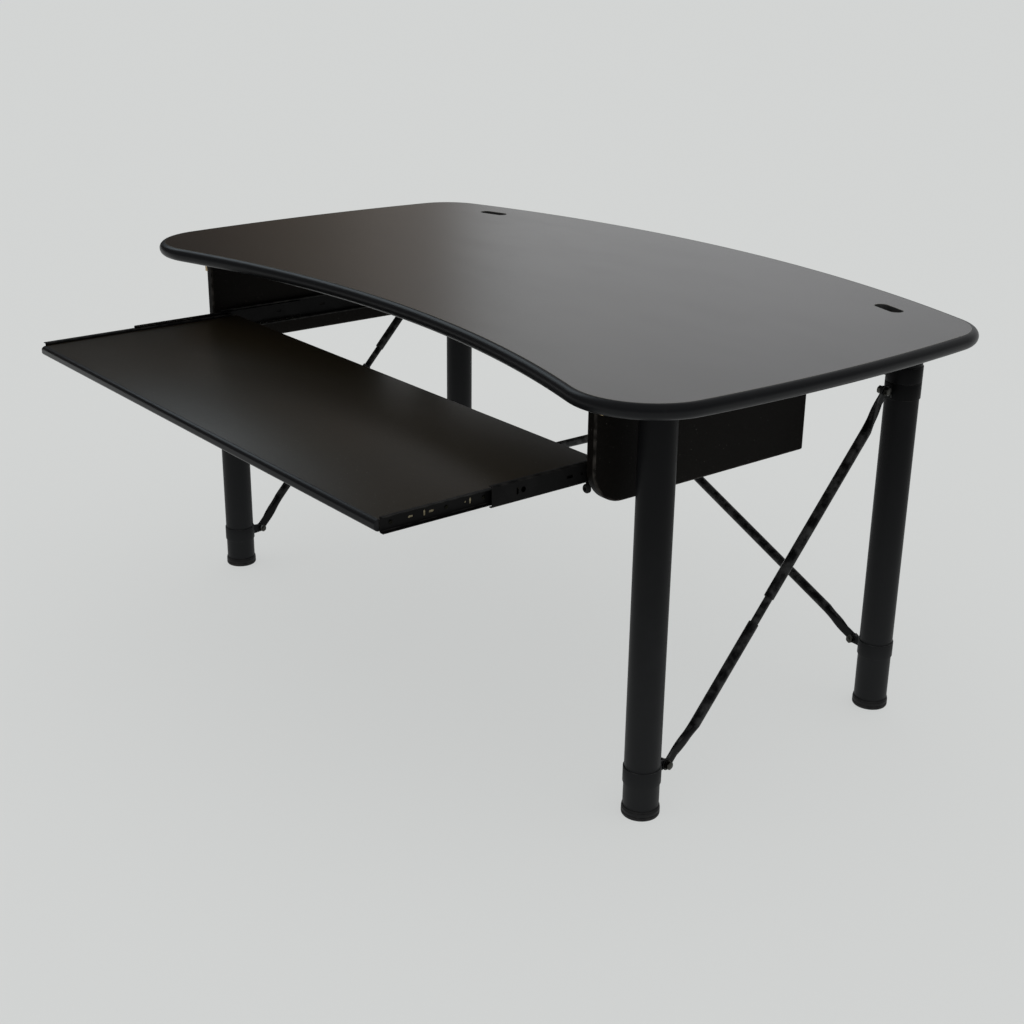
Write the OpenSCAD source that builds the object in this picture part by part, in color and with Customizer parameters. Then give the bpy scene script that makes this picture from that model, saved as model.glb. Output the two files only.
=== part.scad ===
// Computer desk with a pull-out keyboard tray.
// +X is the user's right, -Y is the user's side and +Z is up. The floor is z = 0, and the origin lies under
// the middle of the desk's outline with the tray pulled out.

/* [Desk top] */
// Height of the writing surface above the floor
desk_height = 735; // [700:1:760]
// Thickness of the top, which is also the diameter of its rounded edge
top_thick = 25; // [20:1:32]
// Half of the width at the widest place
top_half_width = 789; // [770:1:820]
// Rear edge at the middle, measured back from the front leg axes
top_rear_y = 807; // [780:1:830]
// Front edge at the middle, measured back from the front leg axes
top_front_y = -46; // [-60:1:-30]
// Radius of the bowed rear edge
rear_bow_r = 2140; // [2000:10:2600]
// Radius of the hollow front edge
front_hollow_r = 2050; // [1900:10:2600]
// Radius of the bowed side edges
side_bow_r = 3175; // [2600:25:4000]
// Radius of the two rear corners
rear_corner_r = 118; // [90:1:130]
// Radius of the two front corners
front_corner_r = 135; // [110:1:145]

/* [Cable slots] */
// Overall length of a cable slot
slot_long = 68; // [50:1:80]
// Width of a cable slot
slot_wide = 27; // [20:1:34]
// Distance of a slot's middle from the desk's middle
slot_x = 566; // [500:1:600]
// Slot's middle, measured back from the front leg axes
slot_y = 643; // [600:1:660]

/* [Legs and feet] */
// Outer radius of a leg tube
leg_r = 30; // [25:0.5:32]
// Wall of a leg tube
leg_wall = 2; // [1.5:0.1:4]
// Distance of the front leg axes from the desk's middle
front_leg_x = 660; // [650:1:680]
// Distance of the rear leg axes from the desk's middle
rear_leg_x = 643.5; // [640:0.5:665]
// Rear leg axes, measured back from the front leg axes
rear_leg_y = 602.5; // [580:0.5:620]
// Height of the foot cap under a leg tube
foot_high = 18; // [14:1:24]

/* [Braces] */
// Distance of a brace bolt from the leg axis
ear_reach = 54; // [50:1:60]
// Outer diameter of the brace tubes
brace_d = 18; // [16:0.5:20]
// Diameter of the rod that joins two brace tubes
rod_d = 14; // [12:0.5:14]
// Height of the lower bolts of the side braces
side_low_z = 71; // [66:1:78]
// Height of the upper bolts of the side braces
side_high_z = 620; // [612:1:622]
// Mean height of the lower bolts of the crossed rear braces
rear_low_z = 117.5; // [112:0.5:122]
// Height of the upper bolts of the crossed rear braces
rear_high_z = 637; // [636:1:644]

/* [Side panels] */
// Outer face of a side panel from the desk's middle
panel_x = 602; // [600:0.5:606]
// Thickness of a side panel
panel_thick = 19; // [16:0.5:19]
// Underside of a side panel
panel_low_z = 532; // [520:1:540]
// Front end of a side panel, measured back from the front leg axes
panel_front_y = -74; // [-78:1:-66]
// Rear end of a side panel, measured back from the front leg axes
panel_rear_y = 400.5; // [380:0.5:410]
// Radius of the lower front corner of a side panel
panel_corner_r = 62; // [45:1:70]

/* [Keyboard tray] */
// Height of the tray's upper face
tray_z = 592; // [588:1:594]
// Thickness of the tray board and diameter of its front edge
tray_thick = 18; // [16:1:18]
// Front edge of the tray when it is pulled out, measured back from the front leg axes
tray_front_y = -450; // [-452:1:-446]
// Rear edge of the tray board when it is pulled out
tray_rear_y = -28; // [-32:1:-24]
// Length of each slide member
slide_long = 400; // [390:1:400]
// How far the tray travels between its two stops
tray_travel = 378; // [370:1:378]

/* [Hidden] */

$fn = 64;
eps = 0.05;
black_laminate = "#1b1816";
black_edge = "#101113";
black_steel = "#1a1b1c";
black_plastic = "#141414";
raw_board = "#c9b48c";
zinc = "#b9bcbf";

underside_z = desk_height - top_thick;
edge_r = top_thick / 2;
y_middle = (top_rear_y + tray_front_y) / 2;

// ---- shared helpers ----
// Everything below is laid out from the front leg axes, and this moves it so that y = 0 is the middle.
module in_frame() {
    translate([0, -y_middle, 0]) children();
}

// side = 1 draws on the user's right and side = -1 mirrors the same shape to the left.
module on_side(side) {
    in_frame() {
        if (side > 0) children();
        else mirror([1, 0, 0]) children();
    }
}

// A round bar along +X whose axis starts at the origin.
module bar_x(r, long) {
    rotate([0, 90, 0]) cylinder(r = r, h = long);
}

// A round bar along +Y whose axis starts at the origin.
module bar_y(r, long) {
    rotate([-90, 0, 0]) cylinder(r = r, h = long);
}

// ---- outline of the top ----
// Where two circles cross, on the left of the way from the first centre to the second.
function meet(c1, r1, c2, r2) =
    let (d = c2 - c1, l = norm(d), a = (r1 * r1 - r2 * r2 + l * l) / (2 * l), h = sqrt(r1 * r1 - a * a))
    c1 + d / l * a + [-d.y, d.x] / l * h;
function heading(from, to) = atan2(to.y - from.y, to.x - from.x);
function arc(c, r, a0, a1, steps) =
    [for (i = [0 : steps - 1]) let (a = a0 + (a1 - a0) * i / steps) c + r * [cos(a), sin(a)]];

rear_c = [0, top_rear_y - rear_bow_r];
front_c = [0, top_front_y - front_hollow_r];
side_bow_y = 282;
side_c = [top_half_width - side_bow_r, side_bow_y];
rear_corner_c = meet(side_c, side_bow_r - rear_corner_r, rear_c, rear_bow_r - rear_corner_r);
front_corner_c = meet(side_c, side_bow_r - front_corner_r, front_c, front_hollow_r + front_corner_r);

// Right half of the outline, from the middle of the front edge round to the middle of the rear edge.
// Every arc keeps its centre, so inset shrinks the outline evenly all round.
function half_outline(inset) =
    let (
        front_end = heading(front_c, front_corner_c),
        side_start = heading(side_c, front_corner_c),
        side_end = heading(side_c, rear_corner_c),
        rear_start = heading(rear_c, rear_corner_c)
    )
    concat(
        arc(front_c, front_hollow_r + inset, 90, front_end, 14),
        arc(front_corner_c, front_corner_r - inset, front_end - 180, side_start, 10),
        arc(side_c, side_bow_r - inset, side_start, side_end, 8),
        arc(rear_corner_c, rear_corner_r - inset, side_end, rear_start, 8),
        arc(rear_c, rear_bow_r - inset, rear_start, 90, 12)
    );
function outline(inset) =
    let (half = half_outline(inset), n = len(half))
    concat(half, [rear_c + (rear_bow_r - inset) * [0, 1]],
        [for (i = [n - 1 : -1 : 1]) [-half[i].x, half[i].y]]);

slot_turn = atan2(slot_x, slot_y - rear_c.y);

module slot_shape(grow) {
    for (side = [-1, 1]) {
        translate([side * slot_x, slot_y]) rotate(-side * slot_turn) {
            square([slot_long - slot_wide, slot_wide + 2 * grow], center = true);
            for (end = [-1, 1])
                translate([end * (slot_long - slot_wide) / 2, 0]) circle(r = slot_wide / 2 + grow);
        }
    }
}

liner_wall = 1.5;
liner_deep = 12;

module desk_top() {
    color(black_laminate) in_frame() difference() {
        translate([0, 0, underside_z]) linear_extrude(top_thick) polygon(outline(edge_r));
        translate([0, 0, underside_z - 1]) linear_extrude(top_thick + 2) slot_shape(0);
    }
}

// Half-round moulding glued all round the board.
module desk_top_edge() {
    steps = 8;
    profile = concat([for (i = [0 : steps]) let (a = -90 + 180 * i / steps)
        [edge_r * (1 - cos(a)), edge_r * (1 + sin(a))]]);
    n = len(outline(0));
    m = len(profile);
    points = [for (q = profile) for (p = outline(q.x)) [p.x, p.y, underside_z + q.y]];
    faces = [for (k = [0 : m - 1]) for (i = [0 : n - 1])
        let (a = k * n, b = ((k + 1) % m) * n, j = (i + 1) % n) [a + i, b + i, b + j, a + j]];
    color(black_edge) in_frame() polyhedron(points, faces, convexity = 6);
}

module cable_slot_liner(side) {
    color(black_plastic) in_frame() intersection() {
        translate([side * slot_x - 100, slot_y - 100, 0]) cube([200, 200, desk_height]);
        translate([0, 0, desk_height - liner_deep]) linear_extrude(liner_deep) difference() {
            slot_shape(-eps);
            slot_shape(-liner_wall);
        }
    }
}

module cable_slot_liner_l() { cable_slot_liner(-1); }
module cable_slot_liner_r() { cable_slot_liner(1); }

// ---- side panels ----
panel_in_x = panel_x - panel_thick;
panel_rear_corner_r = 4;
cleat_thick = 11.5;
cleat_high = 27;
cleat_front_y = panel_front_y + 3;
cleat_long = 440;

module panel_outline() {
    y0 = panel_front_y;
    y1 = panel_rear_y;
    r0 = panel_corner_r;
    r1 = panel_rear_corner_r;
    translate([y0 + r0, panel_low_z]) square([y1 - y0 - r0 - r1, underside_z - panel_low_z]);
    translate([y0, panel_low_z + r0]) square([r0 + 1, underside_z - panel_low_z - r0]);
    translate([y1 - r1 - 1, panel_low_z + r1]) square([r1 + 1, underside_z - panel_low_z - r1]);
    translate([y0 + r0, panel_low_z + r0]) circle(r = r0);
    translate([y1 - r1, panel_low_z + r1]) circle(r = r1);
}

module side_panel(side) {
    color(black_laminate) on_side(side) difference() {
        translate([panel_in_x, 0, 0]) rotate([90, 0, 90]) linear_extrude(panel_thick) panel_outline();
        for (y = panel_screw_ys) translate([panel_in_x - 1, outer_front_y + y, slide_z]) bar_x(screw_r, 16);
    }
}

// Bare wooden strip that screws the panel to the underside of the top.
module panel_cleat(side) {
    color(raw_board) on_side(side) translate([panel_x, cleat_front_y, underside_z - cleat_high])
        cube([cleat_thick, cleat_long, cleat_high]);
}

bumper_r = 7.5;
bumper_z = 563;

// Round rubber button on the front edge of a panel.
module edge_bumper(side) {
    color(black_plastic) on_side(side) translate([panel_in_x + bumper_r, panel_front_y, bumper_z])
        rotate([90, 0, 0]) rotate_extrude() polygon([
            [2, 0], [bumper_r - 1, 0], [bumper_r, 1.5], [bumper_r, 4.5], [bumper_r - 2, 7], [2, 7]]);
}

module side_panel_l() { side_panel(-1); }
module side_panel_r() { side_panel(1); }
module panel_cleat_l() { panel_cleat(-1); }
module panel_cleat_r() { panel_cleat(1); }
module edge_bumper_l() { edge_bumper(-1); }
module edge_bumper_r() { edge_bumper(1); }

// ---- slides ----
screw_r = 2;
screw_head_r = 4.2;
tray_screw_head_r = 3.2;
panel_screw_ys = [43, 180, 320];
slide_gap = 12.7;
tray_half = panel_in_x - slide_gap;
slide_z = tray_z - 7.5;
sheet = 1.2;
outer_high = 46;
middle_high = 34;
inner_high = 25;
race = 5.4;
middle_race = 3.9;
tray_nose_r = tray_thick / 2;
inner_front_y = tray_front_y + tray_nose_r;
outer_front_y = inner_front_y + tray_travel;
middle_front_y = outer_front_y - tray_travel / 2;
middle_long = slide_long - 20;

// A channel along +Y: its web lies between x = 0 and x = thick, and its two races reach to x = reach.
module channel(high, thick, reach, lip, long) {
    translate([0, 0, -high / 2]) cube([thick, long, high]);
    for (s = [0, 1]) mirror([0, 0, s]) {
        translate([0, 0, high / 2 - lip]) cube([reach, long, lip]);
    }
}

module slide_outer(side) {
    color(black_steel) on_side(side) translate([panel_in_x, outer_front_y, slide_z]) mirror([1, 0, 0])
        difference() {
            channel(outer_high, sheet, slide_gap - 1.2, race, slide_long);
            for (y = panel_screw_ys) translate([-1, y, 0]) bar_x(screw_r + 0.4, 4);
        }
}

// Holes in the web of the middle member, from its front end: [distance, length along Y, height].
middle_holes = [[48, 4, 12], [59, 9, 9], [149, 12, 5], [173, 5, 5], [330, 12, 5]];

module slide_middle(side) {
    color(black_steel) on_side(side) translate([panel_in_x - sheet - 0.8, middle_front_y, slide_z])
        mirror([1, 0, 0]) difference() {
            channel(middle_high, sheet, 7.4, middle_race, middle_long);
            for (h = middle_holes) translate([-1, h[0] - h[1] / 2, -h[2] / 2]) cube([4, h[1], h[2]]);
        }
}

// Slots in the web of the inner member, from its front end: [distance, length along Y, height].
inner_slots = [[52, 9, 3.6], [76, 3.6, 9.5], [88, 9, 3.6], [157, 3.6, 10], [250, 9, 3.6], [330, 3.6, 9.5]];
inner_rounds = [18, 114, 181, 380];

module slide_inner(side) {
    color(black_steel) on_side(side) translate([tray_half, inner_front_y, slide_z]) difference() {
        channel(inner_high, sheet, 8.7, 1.5, slide_long);
        for (h = inner_slots) translate([-1, h[0] - h[1] / 2, -h[2] / 2]) cube([4, h[1], h[2]]);
        for (y = inner_rounds) translate([-1, y, 0]) bar_x(screw_r + 0.4, 4);
        translate([-1, 148, 0]) bar_x(1.6, 4);
    }
}

// Screw along +X whose head bears at x = 0.
module screw_x(long, head_thick, head_r = screw_head_r) {
    translate([-head_thick, 0, 0]) bar_x(head_r, head_thick);
    bar_x(screw_r, long);
}

module slide_panel_screws() {
    color(zinc) for (side = [-1, 1]) on_side(side) for (y = panel_screw_ys)
        translate([panel_in_x - sheet, outer_front_y + y, slide_z]) screw_x(15, 0.4);
}

module slide_tray_screws() {
    color(zinc) for (side = [-1, 1]) on_side(side) for (y = inner_rounds)
        translate([tray_half + sheet, inner_front_y + y, slide_z]) mirror([1, 0, 0])
            screw_x(15, 1.6, tray_screw_head_r);
}

module slide_outer_l() { slide_outer(-1); }
module slide_outer_r() { slide_outer(1); }
module slide_middle_l() { slide_middle(-1); }
module slide_middle_r() { slide_middle(1); }
module slide_inner_l() { slide_inner(-1); }
module slide_inner_r() { slide_inner(1); }

// ---- tray ----
module tray_board() {
    color(black_laminate) in_frame() difference() {
        translate([-tray_half, inner_front_y, tray_z - tray_thick])
            cube([2 * tray_half, tray_rear_y - inner_front_y, tray_thick]);
        for (x = [-tray_half - 1, tray_half - 14]) for (y = inner_rounds)
            if (inner_front_y + y < tray_rear_y - 4)
                translate([x, inner_front_y + y, slide_z]) bar_x(screw_r, 15);
    }
}

module tray_front_edge() {
    color(black_edge) in_frame() intersection() {
        translate([-tray_half, inner_front_y, tray_z - tray_nose_r]) bar_x(tray_nose_r, 2 * tray_half);
        translate([-tray_half - 1, tray_front_y - 1, tray_z - tray_thick - 1])
            cube([2 * tray_half + 2, tray_nose_r + 1, tray_thick + 2]);
    }
}

// ---- cleat screws ----
cleat_screw_count = 4;

module cleat_screws() {
    color(zinc) for (side = [-1, 1]) on_side(side) for (i = [0 : cleat_screw_count - 1])
        translate([panel_x + cleat_thick, cleat_front_y + 40 + i * 120, underside_z - cleat_high / 2])
            rotate([0, 90, 0]) cylinder(r = screw_head_r, h = 1.6);
}

// ---- legs ----
leg_places = [[front_leg_x, 0], [rear_leg_x, rear_leg_y]];
plate_r = 46;
plate_thick = 4;
plate_screw_reach = 38;
plate_screw_head_r = 4.2;
leg_top_z = underside_z - plate_thick;

module at_leg(side, rear) {
    on_side(side) translate([leg_places[rear].x, leg_places[rear].y, 0]) children();
}

module leg(side, rear) {
    color(black_steel) at_leg(side, rear) translate([0, 0, foot_high]) difference() {
        cylinder(r = leg_r, h = leg_top_z - foot_high);
        translate([0, 0, -1]) cylinder(r = leg_r - leg_wall, h = leg_top_z - foot_high + 2);
    }
}

// Moulded cap pressed into the tube, with a flared base and two grooves round it.
module foot(side, rear) {
    plug_r = leg_r - leg_wall - 0.1;
    base_r = leg_r + 2;
    color(black_plastic) at_leg(side, rear) rotate_extrude() polygon([
        [0, 0], [base_r - 2.5, 0], [base_r - 0.8, 1.2], [base_r, 4], [base_r, 7], [base_r - 1, 7.6],
        [base_r - 1, 8.6], [base_r, 9.2], [base_r, foot_high - 4.5], [base_r - 0.5, foot_high - 1.8],
        [leg_r - 0.8, foot_high - 0.8], [leg_r - 0.8, foot_high], [plug_r, foot_high],
        [plug_r, foot_high + 22], [0, foot_high + 22]]);
}

module leg_plate(side, rear) {
    color(black_steel) at_leg(side, rear) translate([0, 0, leg_top_z]) difference() {
        cylinder(r = plate_r, h = plate_thick);
        for (a = [45 : 90 : 315]) rotate(a)
            translate([plate_screw_reach, 0, -1]) cylinder(r = 2.6, h = plate_thick + 2);
    }
}

module leg_plate_screws() {
    color(zinc) for (side = [-1, 1]) for (rear = [0, 1]) at_leg(side, rear)
        for (a = [45 : 90 : 315]) rotate(a)
            translate([plate_screw_reach, 0, leg_top_z - 2.2]) cylinder(r = plate_screw_head_r, h = 2.2);
}

module leg_front_l() { leg(-1, 0); }
module leg_front_r() { leg(1, 0); }
module leg_rear_l() { leg(-1, 1); }
module leg_rear_r() { leg(1, 1); }
module foot_front_l() { foot(-1, 0); }
module foot_front_r() { foot(1, 0); }
module foot_rear_l() { foot(-1, 1); }
module foot_rear_r() { foot(1, 1); }
module leg_plate_front_l() { leg_plate(-1, 0); }
module leg_plate_front_r() { leg_plate(1, 0); }
module leg_plate_rear_l() { leg_plate(-1, 1); }
module leg_plate_rear_r() { leg_plate(1, 1); }

// ---- collars and braces ----
collar_wall = 1.6;
collar_high = 28;
ear_thick = 4;
ear_high = 16;
bolt_r = 4;
bolt_hole_r = 4.2;
tab_thick = 3;
tab_wide = 20;
tab_long = 22;
neck_long = 58;
brace_wall = 1.2;
front_collar_z = 74;
rear_low_collar_z = 117.5;
rear_side_collar_z = 613.5;
rear_high_collar_z = 643;
cross_step = 4.5;

// The side bracing plane runs from the front leg to the rear leg, a little inwards.
side_run = [rear_leg_x - front_leg_x, rear_leg_y];
side_span = norm(side_run);
side_turn = atan2(side_run.y, side_run.x);
rear_span = 2 * rear_leg_x;

// A clamped ring round a leg with one ear along +X, whose bolt hole sits at bolt_z.
module collar(z, bolt_z) {
    ring_r = leg_r + eps;
    difference() {
        union() {
            translate([0, 0, z - collar_high / 2]) cylinder(r = ring_r + collar_wall, h = collar_high);
            translate([leg_r, -ear_thick / 2, bolt_z - ear_high / 2])
                cube([ear_reach - leg_r, ear_thick, ear_high]);
            translate([ear_reach, -ear_thick / 2, bolt_z]) bar_y(ear_high / 2, ear_thick);
        }
        translate([0, 0, z - collar_high]) cylinder(r = ring_r, h = 2 * collar_high);
        translate([ear_reach, -ear_thick, bolt_z]) bar_y(bolt_hole_r, 2 * ear_thick);
    }
}

module front_leg_frame(side) {
    on_side(side) translate([front_leg_x, 0, 0]) rotate(side_turn) children();
}

module rear_leg_frame(side, turn) {
    on_side(side) translate([rear_leg_x, rear_leg_y, 0]) rotate(turn) children();
}

module collar_front(side) {
    color(black_steel) front_leg_frame(side) collar(front_collar_z, side_low_z);
}

module collar_rear_side(side) {
    color(black_steel) rear_leg_frame(side, side_turn + 180) collar(rear_side_collar_z, side_high_z);
}

// Brace a starts low on the right leg, and brace b starts low on the left leg.
module collar_rear_low(side) {
    color(black_steel) rear_leg_frame(side, 180) collar(rear_low_collar_z, rear_low_z - side * cross_step);
}

module collar_rear_high(side) {
    color(black_steel) rear_leg_frame(side, 180) collar(rear_high_collar_z, rear_high_z);
}

module collar_front_l() { collar_front(-1); }
module collar_front_r() { collar_front(1); }
module collar_rear_low_l() { collar_rear_low(-1); }
module collar_rear_low_r() { collar_rear_low(1); }
module collar_rear_side_l() { collar_rear_side(-1); }
module collar_rear_side_r() { collar_rear_side(1); }
module collar_rear_high_l() { collar_rear_high(-1); }
module collar_rear_high_r() { collar_rear_high(1); }

tab_y = ear_thick / 2 + eps;
tube_y = tab_y + brace_d / 2;

// One brace tube along +X from the bolt at the origin, with its end beaten flat against the ear.
module brace_tube(long) {
    difference() {
        union() {
            translate([tab_long + neck_long, tube_y, 0]) bar_x(brace_d / 2, long - tab_long - neck_long);
            translate([0, tab_y, -tab_wide / 2]) cube([tab_long, tab_thick, tab_wide]);
            translate([0, tab_y, 0]) bar_y(tab_wide / 2, tab_thick);
            hull() {
                translate([tab_long - 0.01, tab_y, -tab_wide / 2]) cube([0.01, tab_thick, tab_wide]);
                translate([tab_long + neck_long, tube_y, 0]) rotate([0, 90, 0])
                    cylinder(r = brace_d / 2, h = 0.01, $fn = 32);
            }
        }
        translate([0, 0, 0]) bar_y(bolt_hole_r, 2 * tube_y);
        translate([tab_long + neck_long + 6, tube_y, 0]) bar_x(brace_d / 2 - brace_wall, long);
    }
}

// The rod lies on the lower wall of the tubes.
module brace_rod(start, end) {
    drop = brace_d / 2 - brace_wall - rod_d / 2 - eps;
    translate([start, tube_y, -drop]) bar_x(rod_d / 2, end - start);
}

// Hexagon bolt, washers and nut along +Y, through the ear and the tab.
module brace_bolt() {
    washer = 1.5;
    front = tab_y + tab_thick;
    back = -ear_thick / 2;
    translate([0, front, 0]) bar_y(8, washer);
    translate([0, front + washer, 0]) rotate([-90, 0, 0]) cylinder(r = 7.5, h = 5.3, $fn = 6);
    translate([0, back - 10, 0]) bar_y(bolt_r, front - back + 11);
    difference() {
        translate([0, back - washer, 0]) bar_y(8, washer);
        translate([0, back - 2 * washer, 0]) bar_y(bolt_r, 3 * washer);
    }
    difference() {
        translate([0, back - washer - 6.5, 0]) rotate([-90, 0, 0]) cylinder(r = 7.5, h = 6.5, $fn = 6);
        translate([0, back - 12, 0]) bar_y(bolt_r, 12);
    }
}

// Sets +X along a brace from height z0 at one ear to height z1 at the other, always on the same face.
module along_brace(span, z0, z1, from_high) {
    run = span - 2 * ear_reach;
    rise = atan2(z1 - z0, run);
    if (from_high)
        translate([span - ear_reach, 0, z1]) rotate([0, 180 - rise, 0]) mirror([0, 0, 1]) children();
    else
        translate([ear_reach, 0, z0]) rotate([0, -rise, 0]) children();
}

function brace_long(span, z0, z1) = norm([span - 2 * ear_reach, z1 - z0]);
side_long = brace_long(side_span, side_low_z, side_high_z);
rod_in_tube = 60;
rod_shown = 50;

// Length of the lower tube of each side brace, since each one is pulled out by its own amount.
side_low_long = [side_long * 0.60, side_long * 0.373];

module side_brace_frame(side) {
    front_leg_frame(side) mirror([0, 1, 0]) children();
}

module side_brace_tube_low(side) {
    color(black_steel) side_brace_frame(side) along_brace(side_span, side_low_z, side_high_z, false)
        brace_tube(side_low_long[side > 0 ? 1 : 0]);
}

module side_brace_tube_high(side) {
    color(black_steel) side_brace_frame(side) along_brace(side_span, side_low_z, side_high_z, true)
        brace_tube(side_long - side_low_long[side > 0 ? 1 : 0] - rod_shown);
}

module side_brace_rod(side) {
    low = side_low_long[side > 0 ? 1 : 0];
    color(black_steel) side_brace_frame(side) along_brace(side_span, side_low_z, side_high_z, false)
        brace_rod(low - rod_in_tube, low + rod_shown + rod_in_tube);
}

module side_brace_bolts(side) {
    color(zinc) side_brace_frame(side) for (high = [false, true])
        along_brace(side_span, side_low_z, side_high_z, high) brace_bolt();
}

// Brace a leans from the lower right to the upper left behind the ears, and brace b crosses it in front.
function rear_z0(which) = rear_low_z + (which > 0 ? -cross_step : cross_step);
function rear_long(which) = brace_long(rear_span, rear_z0(which), rear_high_z);

module rear_brace_frame(which) {
    in_frame() {
        if (which > 0) translate([rear_leg_x, rear_leg_y, 0]) rotate(180) mirror([0, 1, 0]) children();
        else translate([-rear_leg_x, rear_leg_y, 0]) mirror([0, 1, 0]) children();
    }
}

module rear_brace_tube(which, high) {
    color(black_steel) rear_brace_frame(which) along_brace(rear_span, rear_z0(which), rear_high_z, high)
        brace_tube((rear_long(which) - rod_shown) / 2);
}

module rear_brace_rod(which) {
    middle = rear_long(which) / 2;
    reach = rod_shown / 2 + rod_in_tube;
    color(black_steel) rear_brace_frame(which) along_brace(rear_span, rear_z0(which), rear_high_z, false)
        brace_rod(middle - reach, middle + reach);
}

module rear_brace_bolts(which) {
    color(zinc) rear_brace_frame(which) for (high = [false, true])
        along_brace(rear_span, rear_z0(which), rear_high_z, high) brace_bolt();
}

module side_brace_tube_low_l() { side_brace_tube_low(-1); }
module side_brace_tube_low_r() { side_brace_tube_low(1); }
module side_brace_tube_high_l() { side_brace_tube_high(-1); }
module side_brace_tube_high_r() { side_brace_tube_high(1); }
module side_brace_rod_l() { side_brace_rod(-1); }
module side_brace_rod_r() { side_brace_rod(1); }
module rear_brace_a_tube_low() { rear_brace_tube(1, false); }
module rear_brace_a_tube_high() { rear_brace_tube(1, true); }
module rear_brace_a_rod() { rear_brace_rod(1); }
module rear_brace_b_tube_low() { rear_brace_tube(-1, false); }
module rear_brace_b_tube_high() { rear_brace_tube(-1, true); }
module rear_brace_b_rod() { rear_brace_rod(-1); }
module side_brace_bolts_l() { side_brace_bolts(-1); }
module side_brace_bolts_r() { side_brace_bolts(1); }
module rear_brace_a_bolts() { rear_brace_bolts(1); }
module rear_brace_b_bolts() { rear_brace_bolts(-1); }

desk_top();
desk_top_edge();
cable_slot_liner_l();
cable_slot_liner_r();
side_panel_l();
side_panel_r();
panel_cleat_l();
panel_cleat_r();
edge_bumper_l();
edge_bumper_r();
tray_board();
tray_front_edge();
slide_outer_l();
slide_outer_r();
slide_middle_l();
slide_middle_r();
slide_inner_l();
slide_inner_r();
slide_panel_screws();
slide_tray_screws();
cleat_screws();
leg_front_l();
leg_front_r();
leg_rear_l();
leg_rear_r();
leg_plate_front_l();
leg_plate_front_r();
leg_plate_rear_l();
leg_plate_rear_r();
leg_plate_screws();
foot_front_l();
foot_front_r();
foot_rear_l();
foot_rear_r();
collar_front_l();
collar_front_r();
collar_rear_low_l();
collar_rear_low_r();
collar_rear_side_l();
collar_rear_side_r();
collar_rear_high_l();
collar_rear_high_r();
side_brace_tube_low_l();
side_brace_tube_low_r();
side_brace_tube_high_l();
side_brace_tube_high_r();
side_brace_rod_l();
side_brace_rod_r();
rear_brace_a_tube_low();
rear_brace_a_tube_high();
rear_brace_a_rod();
rear_brace_b_tube_low();
rear_brace_b_tube_high();
rear_brace_b_rod();
side_brace_bolts_l();
side_brace_bolts_r();
rear_brace_a_bolts();
rear_brace_b_bolts();
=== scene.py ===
import math

import bmesh
import bpy
from bpy.props import FloatProperty, FloatVectorProperty, PointerProperty
from mathutils import Matrix, Vector
from mathutils.geometry import tessellate_polygon


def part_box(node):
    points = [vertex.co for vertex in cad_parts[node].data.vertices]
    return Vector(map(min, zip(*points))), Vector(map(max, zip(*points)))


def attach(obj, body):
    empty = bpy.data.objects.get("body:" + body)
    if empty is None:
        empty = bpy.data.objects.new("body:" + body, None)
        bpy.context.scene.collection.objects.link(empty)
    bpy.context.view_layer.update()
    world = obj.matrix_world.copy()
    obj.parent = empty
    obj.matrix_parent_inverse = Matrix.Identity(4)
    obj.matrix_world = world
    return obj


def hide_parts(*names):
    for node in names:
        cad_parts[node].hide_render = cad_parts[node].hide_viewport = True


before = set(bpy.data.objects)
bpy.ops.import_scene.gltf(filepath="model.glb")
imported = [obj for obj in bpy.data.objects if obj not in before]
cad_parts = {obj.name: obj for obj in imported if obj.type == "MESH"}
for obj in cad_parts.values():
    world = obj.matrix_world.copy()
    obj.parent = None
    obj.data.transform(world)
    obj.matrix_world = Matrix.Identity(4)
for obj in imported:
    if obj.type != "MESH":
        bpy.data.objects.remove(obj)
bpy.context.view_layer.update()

bl_info = {
    "name": "Bowed computer desk",
    "version": (1, 0, 0),
    "blender": (4, 5, 0),
    "location": "3D View > Sidebar > Desk",
    "description": "Finishes a computer desk with a pull-out keyboard tray over its frame",
    "category": "Object",
}

MM = 0.001
SIDES = {"l": -1, "r": 1}
ENDS = ("front", "rear")
UP = Vector((0, 0, 1))
ROUND_STEPS = 96
SHARP_ANGLE = math.radians(34)


# ---- places taken from the frame ----


def middle(node):
    """The middle of a frame node's box."""
    low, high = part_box(node)
    return (low + high) / 2


def leg_axis(end, side):
    """Where the axis of a leg meets the floor."""
    axis = middle(f"leg_{end}_{side}")
    return Vector((axis.x, axis.y, 0))


FRONT_LEG = leg_axis("front", "r")
REAR_LEG = leg_axis("rear", "r")


def basis(origin, x, y, z):
    """The matrix whose own axes are x, y and z and whose origin is origin."""
    turn = Matrix((x, y, z)).transposed().to_4x4()
    return Matrix.Translation(origin) @ turn


# ---- flat outlines ----


def arc(centre, radius, start, end, steps):
    """Points on an arc from start to end, angles in radians, both ends included."""
    return [
        Vector((centre[0] + radius * math.cos(a), centre[1] + radius * math.sin(a)))
        for a in (start + (end - start) * i / steps for i in range(steps + 1))
    ]


def rounded_rectangle(centre, width, height, radius, steps=6):
    """A rectangle with round corners, anticlockwise."""
    points = []
    for quarter, (sx, sy) in enumerate(((1, 1), (-1, 1), (-1, -1), (1, -1))):
        corner = (centre[0] + sx * (width / 2 - radius), centre[1] + sy * (height / 2 - radius))
        start = quarter * math.pi / 2
        points += arc(corner, radius, start, start + math.pi / 2, steps)
    return without_repeats(points)


def without_repeats(points):
    """The same ring of points with no point straight after its own copy."""
    kept = []
    for p in points:
        if not kept or (p - kept[-1]).length > 1e-7:
            kept.append(p)
    if (kept[0] - kept[-1]).length < 1e-7:
        kept.pop()
    return kept


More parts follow.
